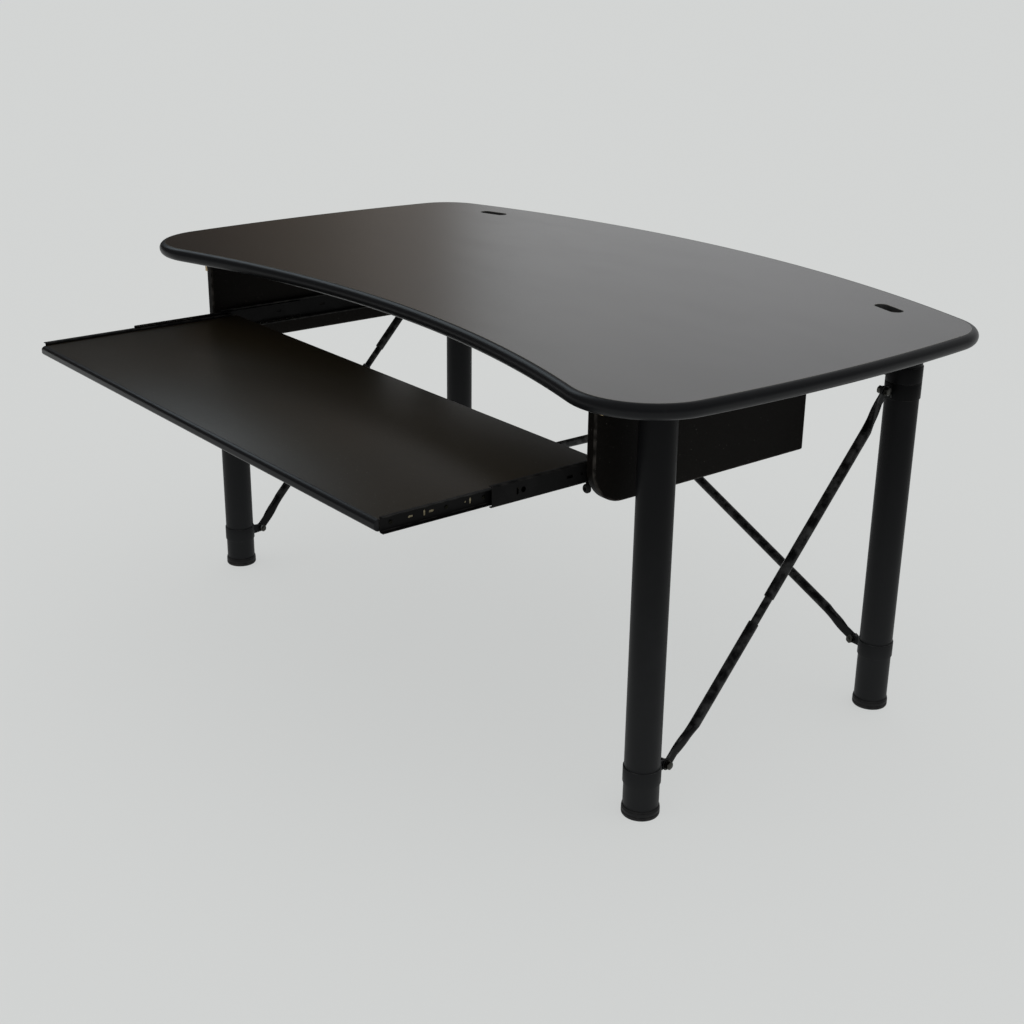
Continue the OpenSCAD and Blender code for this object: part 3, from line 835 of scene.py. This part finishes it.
class DESK_OT_tray(bpy.types.Operator):
    """Keyboard tray board with its half-round front moulding"""

    bl_idname = "desk.tray"
    bl_label = "Keyboard tray"

    def execute(self, context):
        self.board()
        self.nose()
        return {"FINISHED"}

    def board(self):
        low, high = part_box("tray_board")
        board = Shape()
        board.block(low, high, 0.5 * MM, 2)
        for face in board.mesh.faces:
            if abs(face.normal.x) > 0.9:
                face.material_index = 1
        finishes = [tray_laminate(), chip_core()]
        board.piece("tray_board_laminated", "tray", "tray_laminate", finishes, ["tray_board"])

    def nose(self):
        low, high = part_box("tray_front_edge")
        radius = (high.z - low.z) / 2
        back = high.y - 0.1 * MM
        outline = [Vector((back, low.z)), Vector((back, high.z))]
        outline += arc((high.y - 0.8 * MM, low.z + radius), radius, math.pi / 2, math.pi * 1.5, 22)
        for p in outline[2:]:
            p.x = max(p.x, low.y)
        place = basis(Vector((low.x, 0, 0)), Vector((0, 1, 0)), UP, Vector((1, 0, 0)))
        nose = Shape()
        nose.extrude(outline, 0.0, high.x - low.x, place, 0.4 * MM)
        nose.piece("tray_front_moulding", "tray", "edge_moulding", [edge_moulding()], ["tray_front_edge"])


# ---- slides ----

SLIDE_SHEET = 1.2 * MM
BALLS = 8
BALL_STEP = 16 * MM

# Distances of the screws behind the front end of their rail, in millimetres.
PANEL_SCREWS = (43, 180, 320)
TRAY_SCREWS = (18, 114, 181, 380)

# Holes punched in the webs: distance behind the rail's front end, length and height, in millimetres.
OUTER_HOLES = [(y, 4.8, 4.8) for y in PANEL_SCREWS] + [(y, 14, 5) for y in (80, 250, 365)]
MIDDLE_HOLES = [(48, 4, 12), (59, 9, 9), (149, 12, 5), (173, 5, 5), (330, 12, 5)]
INNER_HOLES = [(y, 9, 3.6) for y in (52, 88, 250)] + [(y, 3.6, 9.5) for y in (76, 157, 330)]
INNER_HOLES += [(148, 3.2, 3.2)] + [(y, 4.8, 4.8) for y in TRAY_SCREWS]


def race_path(half, web, reach, sheet, corner, curl, hook):
    """Centreline of one rolled race, from the web to its lip, as (reach, height) points."""
    top = half - sheet / 2
    start = sheet / 2
    path = [Vector((start, web))]
    path += arc((start + corner, top - corner), corner, math.pi, math.pi / 2, 6)
    if curl:
        path += arc((reach - sheet / 2 - curl, top - curl), curl, math.pi / 2, math.pi / 2 - hook, 8)
    else:
        path.append(Vector((reach, top)))
    return without_repeats(path)


def slide_member(shape, place, size, holes, corner, curl, hook):
    """A rolled channel: a punched web and two races. place has reach, height and length as its axes."""
    half = size.z / 2
    web = half - SLIDE_SHEET / 2 - corner
    for mirror in (1, -1):
        outline = ribbon(race_path(half, web, size.x, SLIDE_SHEET, corner, curl, hook), SLIDE_SHEET)
        outline = [Vector((p.x, mirror * p.y)) for p in outline]
        if mirror > 0:
            outline = outline[::-1]
        shape.extrude(outline, 0.0, size.y, place)
    flat = place @ basis(Vector((0, 0, 0)), Vector((0, 0, 1)), Vector((0, 1, 0)), Vector((1, 0, 0)))
    outline = [Vector(p) for p in ((0, -web), (size.y, -web), (size.y, web), (0, web))]
    cut = [rounded_rectangle((y * MM, 0), wide * MM, high * MM, min(wide, high) * MM / 2 - 1e-6, 5)
           for y, wide, high in holes]
    shape.sheet(outline, cut, SLIDE_SHEET, flat, 0.12 * MM)


class DESK_OT_slides(bpy.types.Operator):
    """Three-part ball slides with their punched webs, retainers and balls"""

    bl_idname = "desk.slides"
    bl_label = "Ball slides"

    def execute(self, context):
        for side, sign in SIDES.items():
            self.rail("outer", side, -sign, "desk", OUTER_HOLES, 2.2 * MM, 1.5 * MM, 2.6)
            self.rail("inner", side, sign, "tray", INNER_HOLES, 1.8 * MM, 0.0, 0.0)
            place, size = self.rail("middle", side, -sign, f"slide_middle_{side}", MIDDLE_HOLES,
                                    2.0 * MM, 1.0 * MM, 1.2)
            self.balls(side, place, size.z / 2)
        return {"FINISHED"}

    def rail(self, kind, side, opens, body, holes, corner, curl, hook):
        """One rail. opens is the way along x that its open side looks."""
        node = f"slide_{kind}_{side}"
        low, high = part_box(node)
        spot = Vector((low.x if opens > 0 else high.x, low.y, (low.z + high.z) / 2))
        place = basis(spot, Vector((opens, 0, 0)), UP, Vector((0, 1, 0)))
        rail = Shape()
        slide_member(rail, place, high - low, holes, corner, curl, hook)
        rail.piece(f"slide_{kind}_rail_{side}", body, "slide_steel", [slide_steel()], [node])
        return place, high - low

    def balls(self, side, place, half):
        """The rows of balls inside and outside the middle rail, each in its strip."""
        centre_z = place.translation.z
        inside = (half - SLIDE_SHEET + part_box(f"slide_inner_{side}")[1].z - centre_z) / 2
        outside = (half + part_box(f"slide_outer_{side}")[1].z - SLIDE_SHEET - centre_z) / 2
        cage = Shape()
        for z, reach, start in ((inside, 4.2 * MM, 10 * MM), (outside, 3.4 * MM, 250 * MM)):
            end = start + (BALLS - 1) * BALL_STEP
            for mirror in (1, -1):
                cage.paint = 0
                low = Vector((reach - 1.9 * MM, mirror * z - 0.25 * MM, start - 6 * MM))
                high = Vector((reach + 1.9 * MM, mirror * z + 0.25 * MM, end + 6 * MM))
                corners = [place @ low, place @ high]
                cage.block(Vector(map(min, *corners)), Vector(map(max, *corners)), 0.1 * MM, 1)
                cage.paint = 1
                for i in range(BALLS):
                    cage.ball(place @ Vector((reach, mirror * z, start + BALL_STEP * i)), 1.45 * MM)
        finishes = [retainer_steel(), ball_steel()]
        cage.piece(f"slide_ball_cage_{side}", f"slide_middle_{side}", "zinc_hardware", finishes, [])


# ---- screws ----


def cross_outline(arm, wide):
    """A plus sign, anticlockwise."""
    a, w = arm, wide / 2
    return [Vector(p) for p in ((a, -w), (a, w), (w, w), (w, a), (-w, a), (-w, w),
                                (-a, w), (-a, -w), (-w, -w), (-w, -a), (w, -a), (w, -w))]


def pan_head(shape, place, radius, high, steps=32):
    """A domed screw head with a cross recess, from the origin of place along its third axis."""
    levels = [(radius * 0.97, 0.0), (radius, high * 0.18), (radius * 0.97, high * 0.5),
              (radius * 0.86, high * 0.8), (radius * 0.68, high)]
    rings = [[place @ Vector((p.x, p.y, z)) for p in circle((0, 0), r, steps)] for r, z in levels]
    loops = shape.skin(rings, caps=False)
    shape.face(loops[0][::-1])
    mouth = cross_outline(radius * 0.52, radius * 0.22)
    pit = cross_outline(radius * 0.34, radius * 0.14)
    depth = high * 0.75
    recess = shape.skin([[place @ Vector((p.x, p.y, high)) for p in mouth],
                         [place @ Vector((p.x, p.y, high - depth)) for p in pit]], caps=False)
    shape.face(recess[-1])
    flat = circle((0, 0), levels[-1][0], steps) + mouth
    corners = loops[-1] + recess[0]
    for triangle in tessellate_polygon([[p.to_3d() for p in flat[:steps]], [p.to_3d() for p in mouth]]):
        a, b, c = (flat[i] for i in triangle)
        if abs((b - a).cross(c - a)) > 1e-13:
            shape.face([corners[i] for i in triangle])


def plate_hole_middles(node):
    """The middles of the four holes of a leg plate, on its lower face."""
    low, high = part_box(node)
    centre = (low + high) / 2
    reach = (high.x - low.x) / 2 - 8 * MM
    turns = [math.pi / 4 + quarter * math.pi / 2 for quarter in range(4)]
    return [Vector((centre.x + reach * math.cos(a), centre.y + reach * math.sin(a), low.z)) for a in turns]


class DESK_OT_screws(bpy.types.Operator):
    """Cross-head screws of the slides, the cleats and the leg plates"""

    bl_idname = "desk.screws"
    bl_label = "Screws"

    head: length_setting("Head radius", "Radius of a screw head", 0.0042)
    tray_head: length_setting("Tray head radius", "Radius of the heads that hold the tray slides", 0.0032)

    def execute(self, context):
        self.rows("panel_slide_screws", "slide_panel_screws", "desk", "slide_outer", -1, PANEL_SCREWS,
                  self.head, 0.4 * MM)
        self.rows("tray_slide_screws", "slide_tray_screws", "tray", "slide_inner", 1, TRAY_SCREWS,
                  self.tray_head, 1.6 * MM)
        self.cleat_rows()
        self.plate_sets()
        return {"FINISHED"}

    def cleat_rows(self):
        shape = Shape()
        for side, sign in SIDES.items():
            low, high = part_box(f"panel_cleat_{side}")
            face_x = high.x if sign > 0 else low.x
            for i in range(4):
                spot = Vector((face_x, low.y + (40 + 120 * i) * MM, (low.z + high.z) / 2))
                self.head_at(shape, spot, Vector((sign, 0, 0)), self.head, 1.6 * MM)
        shape.piece("cleat_fixing_screws", "desk", "zinc_hardware", [zinc_plate()], ["cleat_screws"])

    def plate_sets(self):
        shape = Shape()
        for end in ENDS:
            for side in SIDES:
                for spot in plate_hole_middles(f"leg_plate_{end}_{side}"):
                    self.head_at(shape, spot, -UP, self.head, 2.2 * MM)
        shape.piece("leg_plate_fixing_screws", "desk", "zinc_hardware", [zinc_plate()], ["leg_plate_screws"])

    def head_at(self, shape, spot, look, radius, high):
        """One head on a surface that faces along look."""
        side = look.orthogonal().normalized()
        pan_head(shape, basis(spot, side, look.cross(side), look), radius, high)

    def rows(self, name, node, body, rail, opens, distances, radius, high):
        """A row of screws in the web of a rail on each side. opens is 1 if the rail opens outward."""
        shape = Shape()
        for side, sign in SIDES.items():
            low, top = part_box(f"{rail}_{side}")
            look_x = sign * opens
            web_x = (low.x if look_x > 0 else top.x) + look_x * SLIDE_SHEET
            for y in distances:
                spot = Vector((web_x, low.y + y * MM, (low.z + top.z) / 2))
                self.head_at(shape, spot, Vector((look_x, 0, 0)), radius, high)
        shape.piece(name, body, "zinc_hardware", [dull_zinc()], [node])


# ---- legs ----

# The side of a foot cap from its sole upward: radius beyond the cap's widest and height, in millimetres.
FOOT_SIDE = [(-4.5, 0), (-2.6, 0.1), (-1.2, 0.7), (-0.4, 1.9), (0, 3.6), (0, 6.6), (-0.15, 6.9), (-0.9, 7.2),
             (-0.9, 8.2), (-0.15, 8.5), (0, 8.8), (-0.1, 13.2), (-0.25, 13.9), (-0.9, 14.2), (-0.9, 14.9),
             (-0.5, 15.2), (-0.7, 16.6), (-1.4, 17.4), (-2.6, 17.8)]


class DESK_OT_legs(bpy.types.Operator):
    """Round legs with their feet and mounting plates"""

    bl_idname = "desk.legs"
    bl_label = "Legs and feet"

    wall: length_setting("Tube wall", "Wall of a leg tube", 0.002)

    def execute(self, context):
        for end in ENDS:
            for side in SIDES:
                name = f"{end}_{side}"
                place = Matrix.Translation(leg_axis(end, side))
                self.tube(name, place)
                self.foot(name, place)
                self.plate(name)
        return {"FINISHED"}

    def tube(self, name, place):
        low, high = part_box(f"leg_{name}")
        r = (high.x - low.x) / 2
        inside = r - self.wall
        ease = 0.5 * MM
        tube = Shape()
        tube.lathe([(inside, low.z), (r - ease, low.z), (r - 0.15 * MM, low.z + 0.15 * MM), (r, low.z + ease),
                    (r, high.z - ease), (r - ease, high.z), (inside, high.z)], place, wrap=True)
        tube.piece(f"leg_tube_{name}", "desk", "leg_powder_coat", [leg_powder_coat()], [f"leg_{name}"])

    def foot(self, name, place):
        low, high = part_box(f"foot_{name}")
        r = (high.x - low.x) / 2
        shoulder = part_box(f"leg_{name}")[0].z
        well = r - 4.2 * MM
        profile = [(0.4 * MM, 0)] + [(r + wider * MM, z * MM) for wider, z in FOOT_SIDE]
        profile += [(r - 2.6 * MM, shoulder), (well, shoulder), (well, high.z), (0.4 * MM, high.z)]
        foot = Shape()
        foot.lathe(profile, place)
        foot.piece(f"foot_cap_{name}", "desk", "foot_plastic", [foot_plastic()], [f"foot_{name}"])

    def plate(self, name):
        node = f"leg_plate_{name}"
        low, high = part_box(node)
        rim = circle(middle(node), (high.x - low.x) / 2, 72)
        holes = [circle(spot, 2.6 * MM, 24) for spot in plate_hole_middles(node)]
        plate = Shape()
        plate.sheet(rim, holes, high.z - low.z, Matrix.Translation((0, 0, low.z)), 0.5 * MM)
        plate.piece(f"leg_top_plate_{name}", "desk", "bracket_steel", [bracket_coat()], [node])


# ---- braces ----


class Brace:
    """One telescoping brace between two legs, in its own upright plane."""

    def __init__(self, low_leg, high_leg, face, low_z, high_z, reach):
        along = (high_leg - low_leg).normalized()
        self.face = face
        self.low = low_leg + along * reach + UP * low_z
        self.high = high_leg - along * reach + UP * high_z
        self.length = (self.high - self.low).length

    def axes(self, start, end):
        """Axes at start with x towards end and y out of the ears' face."""
        x = (end - start).normalized()
        return basis(start, x, self.face, x.cross(self.face))


BRACE_PARTS = ("tube_low", "tube_high", "rod", "bolts")
TAB_FACE = 2.05 * MM
TUBE_R = 9 * MM
TUBE_Y = TAB_FACE + TUBE_R


def brace_tube(shape, place, long):
    """A tube along x whose near end is beaten flat into a bolted tab."""
    half_tab, half_wide, tab, neck, bore = 1.5 * MM, 10 * MM, 22 * MM, 58 * MM, 7.8 * MM
    end_turns = [math.pi / 2 * i / 8 for i in range(9)]
    stations = [(-half_wide * math.cos(a), half_tab, max(0.4 * MM, half_wide * math.sin(a)), 5.0)
                for a in end_turns]
    stations += [(tab * 0.5, half_tab, half_wide, 5.0), (tab, half_tab, half_wide, 5.0)]
    for i in range(1, 13):
        share = i / 12
        ease = share * share * (3 - 2 * share)
        swell = 1.6 * MM * math.sin(math.pi * share) * (1 - share)
        stations.append((tab + neck * share, half_tab + (TUBE_R - half_tab) * share,
                         half_wide + swell + (TUBE_R - half_wide) * ease, 5.0 - 3.0 * min(1.0, share * 1.6)))
    stations += [(x, TUBE_R - less, TUBE_R - less, 2.0)
                 for x, less in ((long - 0.6 * MM, 0.0), (long - 0.1 * MM, 0.15 * MM), (long, 0.5 * MM))]
    stations += [(x, bore, bore, 2.0) for x in (long, long - 55 * MM)]
    turns = [2 * math.pi * k / 48 for k in range(48)]
    rings = []
    for i, (x, thick, wide, power) in enumerate(stations):
        centre_y = TUBE_Y if i >= len(stations) - 5 else TAB_FACE + thick
        rings.append([place @ Vector((x, centre_y + bulge(math.cos(a), power) * thick,
                                      bulge(math.sin(a), power) * wide)) for a in turns])
    shape.skin(rings)


def bulge(value, power):
    """A cosine or sine squared off for a superellipse of that power."""
    return math.copysign(abs(value) ** (2 / power), value)


def hexagon_head(shape, place, start, high, flats):
    """A hexagon with a chamfered outer face, pushed along the third axis of place."""
    apothem = flats / 2
    points = []
    for k in range(36):
        a = 2 * math.pi * k / 36
        lean = (a + math.pi / 6) % (math.pi / 3) - math.pi / 6
        points.append(Vector((math.cos(a), math.sin(a))) * apothem / math.cos(lean))
    end = start + high
    rings = [[place @ Vector((p.x, p.y, start)) for p in points],
             [place @ Vector((p.x, p.y, end - (p.length - apothem) * 0.55 - 0.15 * MM)) for p in points],
             [place @ Vector((*(p.normalized() * apothem * 0.97), end)) for p in points]]
    shape.skin(rings)


def brace_bolt(shape, place):
    """Hexagon bolt with washers and nut through the ear and the tab. place looks out of the ears' face."""
    front = TAB_FACE + 3 * MM
    back = -2 * MM
    washer = [(4.3 * MM, 0), (7.8 * MM, 0), (8 * MM, 0.3 * MM), (8 * MM, 1.2 * MM), (7.8 * MM, 1.5 * MM),
              (4.3 * MM, 1.5 * MM)]
    shape.lathe(washer, place @ Matrix.Translation((0, 0, front)), 40, wrap=True)
    shape.lathe(washer, place @ Matrix.Translation((0, 0, back - 1.5 * MM)), 40, wrap=True)
    hexagon_head(shape, place, front + 1.5 * MM, 5.3 * MM, 13 * MM)
    hexagon_head(shape, place @ Matrix.Rotation(math.pi, 4, "X"), -back + 1.5 * MM, 6.5 * MM, 13 * MM)
    end = back - 10 * MM
    thread = [(0.2 * MM, end), (3.3 * MM, end), (3.9 * MM, end + 0.7 * MM)]
    for turn in range(3):
        thread += [(3.45 * MM, end + (1.1 + turn * 1.25) * MM), (3.95 * MM, end + (1.7 + turn * 1.25) * MM)]
    thread += [(3.95 * MM, front + 2 * MM), (0.2 * MM, front + 2 * MM)]
    shape.lathe(thread, place, 32)


def collar(shape, leg, ear, bolt_z, low_z, high_z):
    """A clamped strap round a leg whose two leaves run out along ear to the brace bolt."""
    place = Matrix.Translation(leg)
    inner, outer, ease = 30.05 * MM, 31.65 * MM, 0.5 * MM
    soft = 0.15 * MM
    profile = [(inner, low_z), (outer - ease, low_z), (outer - soft, low_z + soft), (outer, low_z + ease),
               (outer, high_z - ease), (outer - soft, high_z - soft), (outer - ease, high_z), (inner, high_z)]
    shape.lathe(profile, place, wrap=True)
    reach = bpy.context.scene.desk_braces.ear_reach
    root, end = 30.6 * MM, 8 * MM
    outline = [Vector((root, high_z - 1 * MM)), Vector((root, low_z + 1 * MM)),
               Vector((root + 4 * MM, max(low_z + 1 * MM, bolt_z - end - 2 * MM)))]
    outline += arc((reach, bolt_z), end, -math.pi / 2, math.pi / 2, 16)
    outline += [Vector((root + 4 * MM, min(high_z - 1 * MM, bolt_z + end + 2 * MM)))]
    hole = circle((reach, bolt_z), 4.2 * MM, 32)
    across = ear.cross(UP)
    for offset in (0.05 * MM, -2 * MM):
        leaf = basis(leg + across * offset, ear, UP, across)
        shape.sheet(without_repeats(outline), [hole], 1.95 * MM, leaf, 0.35 * MM)


class DESK_OT_braces(bpy.types.Operator):
    """Collars, telescoping side braces, crossed rear braces and their bolts"""

    bl_idname = "desk.braces"
    bl_label = "Braces"

    left_share: share_setting("Left lower tube", "Lower tube's share of the left side brace", 0.60)
    right_share: share_setting("Right lower tube", "Lower tube's share of the right side brace", 0.373)

    def execute(self, context):
        sizes = context.scene.desk_braces
        shown = sizes.rod_shown
        for side, sign in SIDES.items():
            front, rear = leg_axis("front", side), leg_axis("rear", side)
            along = (rear - front).normalized()
            face = along.cross(UP) * sign
            brace = Brace(front, rear, face, sizes.side_low, sizes.side_high, sizes.ear_reach)
            low_share = self.right_share if sign > 0 else self.left_share
            self.build(brace, brace.length * low_share, shown,
                       [f"side_brace_{part}_{side}" for part in BRACE_PARTS])
            self.strap(f"collar_front_{side}", front, along, sizes.side_low)
            self.strap(f"collar_rear_side_{side}", rear, -along, sizes.side_high)
            inward = Vector((-sign, 0, 0))
            self.strap(f"collar_rear_low_{side}", rear, inward, sizes.rear_low - sign * sizes.cross_step)
            self.strap(f"collar_rear_high_{side}", rear, inward, sizes.rear_high)
        for letter, low_side, high_side, face in (("a", "r", "l", 1), ("b", "l", "r", -1)):
            low_z = sizes.rear_low - SIDES[low_side] * sizes.cross_step
            brace = Brace(leg_axis("rear", low_side), leg_axis("rear", high_side), Vector((0, face, 0)),
                          low_z, sizes.rear_high, sizes.ear_reach)
            self.build(brace, (brace.length - shown) / 2, shown,
                       [f"rear_brace_{letter}_{part}" for part in BRACE_PARTS])
        return {"FINISHED"}

    def build(self, brace, low_long, shown, nodes):
        """Both tubes, the rod between them and the two bolts of one brace."""
        low_node, high_node, rod_node, bolt_node = nodes
        place = brace.axes(brace.low, brace.high)
        upper_place = brace.axes(brace.high, brace.low)
        for node, axes, long in ((low_node, place, low_long),
                                 (high_node, upper_place, brace.length - low_long - shown)):
            tube = Shape()
            brace_tube(tube, axes, long)
            tube.piece(f"{node}_flattened", "desk", "brace_powder_coat", [brace_powder_coat()], [node])
        rod = Shape()
        r, inside = 7 * MM, 50 * MM
        low_side = 1 if place.col[2].z < 0 else -1
        sag = low_side * (TUBE_R - 1.2 * MM - r - 0.05 * MM)
        start = Matrix.Translation((low_long - inside, TUBE_Y, sag))
        long = shown + 2 * inside
        rod.lathe([(0.3 * MM, 0), (r - 1 * MM, 0), (r, 1 * MM), (r, long - 1 * MM), (r - 1 * MM, long),
                   (0.3 * MM, long)], place @ start @ Matrix.Rotation(math.pi / 2, 4, "Y"), 48)
        rod.piece(f"{rod_node}_bar", "desk", "brace_rod_steel", [brace_powder_coat()], [rod_node])
        bolts = Shape()
        for spot in (brace.low, brace.high):
            side = UP.cross(brace.face)
            brace_bolt(bolts, basis(spot, side, brace.face.cross(side), brace.face))
        bolts.piece(f"{bolt_node}_set", "desk", "zinc_hardware", [zinc_plate()], [bolt_node])

    def strap(self, node, leg, ear, bolt_z):
        low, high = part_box(node)
        shape = Shape()
        collar(shape, leg, ear, bolt_z, low.z, high.z)
        shape.piece(f"{node}_strap", "desk", "bracket_steel", [bracket_coat()], [node])


# ---- stage ----

FLOOR_REACH = 90.0
WALL_TURN = math.radians(52)
WINDOW_PLACE = Vector((-9.8, 0.9, 8.3))
WINDOW_AIM = Vector((0, 0, 0.7))
WINDOW_SIDE = 5.5

# The wall from its dark left end to the pale right one: share of the way round, and colour.
WALL_STOPS = [
    (0.0, (0.050, 0.040, 0.034)), (0.405, (0.060, 0.048, 0.040)), (0.433, (0.150, 0.126, 0.105)),
    (0.449, (0.205, 0.180, 0.155)), (0.464, (0.335, 0.300, 0.270)), (0.483, (0.380, 0.350, 0.325)),
    (0.497, (0.87, 0.88, 0.885)), (0.513, (0.98, 0.99, 1.0)), (0.60, (0.97, 0.98, 1.0)),
    (0.69, (0.79, 0.80, 0.81)), (1.0, (0.70, 0.70, 0.70))]


class DESK_OT_stage(bpy.types.Operator):
    """Pale floor, soft light from all round, a large side light and the camera"""

    bl_idname = "desk.stage"
    bl_label = "Stage"

    def execute(self, context):
        settings = context.scene.desk_stage
        self.floor()
        self.sky(context.scene, settings)
        self.window(settings)
        self.camera(context.scene, settings)
        context.scene.view_settings.view_transform = "Standard"
        return {"FINISHED"}

    def floor(self):
        mesh = bpy.data.meshes.new("floor")
        corners = [(x * FLOOR_REACH, y * FLOOR_REACH, 0) for x, y in ((-1, -1), (1, -1), (1, 1), (-1, 1))]
        mesh.from_pydata(corners, [], [(0, 1, 2, 3)])
        mesh.materials.append(studio_floor())
        floor = bpy.data.objects.new("floor", mesh)
        bpy.context.scene.collection.objects.link(floor)

    def sky(self, scene, settings):
        """Even light on everything, and for the glossy finishes a pale wall behind the desk in a dim room."""
        world = bpy.data.worlds.new("soft_room")
        scene.world = world
        f = Finish(world)
        toward = f.node("ShaderNodeTexCoord", output="Generated")
        east, north = math.cos(WALL_TURN), math.sin(WALL_TURN)
        wall_axes = ((east, north, 0), (-north, east, 0))
        aside, behind = (f.node("ShaderNodeVectorMath", {"operation": "DOT_PRODUCT"}, {0: toward, 1: axis},
                                output="Value") for axis in wall_axes)
        height = f.node("ShaderNodeSeparateXYZ", values={0: toward}, output="Z")
        wall = f.node("ShaderNodeValToRGB", {"stops": WALL_STOPS}, {"Fac": aside * 0.5 + 0.5})
        wall = f.node("ShaderNodeVectorMath", {"operation": "SCALE"},
                      {0: wall, "Scale": settings.wall_strength})
        room = f.between(f.step(behind, 0.0, 0.45), (0.14, 0.14, 0.145), wall)
        room = f.between(f.step(height, 0.50, 0.80), room, (0.30, 0.30, 0.31))
        glossy = f.node("ShaderNodeLightPath", output="Is Glossy Ray")
        light = f.between(glossy, (0.80, 0.80, 0.80), room)
        seen = f.node("ShaderNodeLightPath", output="Is Camera Ray")
        colour = f.between(seen, light, (0.647, 0.660, 0.653))
        background = f.tree.nodes["Background"]
        f.fill(background.inputs["Color"], colour)
        background.inputs["Strength"].default_value = settings.sky_strength

    def window(self, settings):
        """A far window high on the left, which only shows as a cool streak along the mouldings."""
        light = bpy.data.lights.new("side_light", "AREA")
        light.shape = "RECTANGLE"
        light.size, light.size_y = WINDOW_SIDE, WINDOW_SIDE
        light.energy = settings.window_power
        light.color = (0.80, 0.92, 1.0)
        lamp = bpy.data.objects.new("side_light", light)
        lamp.location = WINDOW_PLACE
        lamp.rotation_euler = (WINDOW_AIM - WINDOW_PLACE).to_track_quat("-Z", "Y").to_euler()
        lamp.visible_diffuse = False
        bpy.context.scene.collection.objects.link(lamp)

    def camera(self, scene, settings):
        turn, tilt, roll = settings.camera_turn, settings.camera_tilt, settings.camera_roll
        ahead = Vector((-math.sin(turn) * math.cos(tilt), math.cos(turn) * math.cos(tilt), -math.sin(tilt)))
        right = Vector((math.cos(turn), math.sin(turn), 0))
        above = right.cross(ahead)
        rolled_right = right * math.cos(roll) + above * math.sin(roll)
        rolled_above = above * math.cos(roll) - right * math.sin(roll)
        data = bpy.data.cameras.new("camera")
        data.sensor_width = 36
        data.lens = settings.lens
        data.clip_end = 200
        camera = bpy.data.objects.new("camera", data)
        camera.matrix_world = basis(Vector(settings.camera_place), rolled_right, rolled_above, -ahead)
        scene.collection.objects.link(camera)
        scene.camera = camera


class DESK_PT_panel(bpy.types.Panel):
    """Lists the desk's pieces and settings in the sidebar"""

    bl_label = "Computer desk"
    bl_idname = "DESK_PT_panel"
    bl_space_type = "VIEW_3D"
    bl_region_type = "UI"
    bl_category = "Desk"

    def draw(self, context):
        for group in (context.scene.desk_top, context.scene.desk_braces, context.scene.desk_finishes,
                      context.scene.desk_stage):
            column = self.layout.column(align=True)
            for name in group.__annotations__:
                column.prop(group, name)
        for operator in OPERATORS:
            self.layout.operator(operator.bl_idname)


GROUPS = {
    "desk_top": TopSettings,
    "desk_braces": BraceSettings,
    "desk_finishes": FinishSettings,
    "desk_stage": StageSettings,
}
OPERATORS = (DESK_OT_top, DESK_OT_panels, DESK_OT_tray, DESK_OT_slides, DESK_OT_screws, DESK_OT_legs,
             DESK_OT_braces, DESK_OT_stage)


def register():
    for name, group in GROUPS.items():
        bpy.utils.register_class(group)
        setattr(bpy.types.Scene, name, PointerProperty(type=group))
    for cls in (*OPERATORS, DESK_PT_panel):
        bpy.utils.register_class(cls)


def unregister():
    for cls in (DESK_PT_panel, *reversed(OPERATORS)):
        bpy.utils.unregister_class(cls)
    for name, group in GROUPS.items():
        delattr(bpy.types.Scene, name)
        bpy.utils.unregister_class(group)


def main():
    register()
    for operator in OPERATORS:
        group, name = operator.bl_idname.split(".")
        getattr(getattr(bpy.ops, group), name)()


if __name__ == "__main__":
    main()
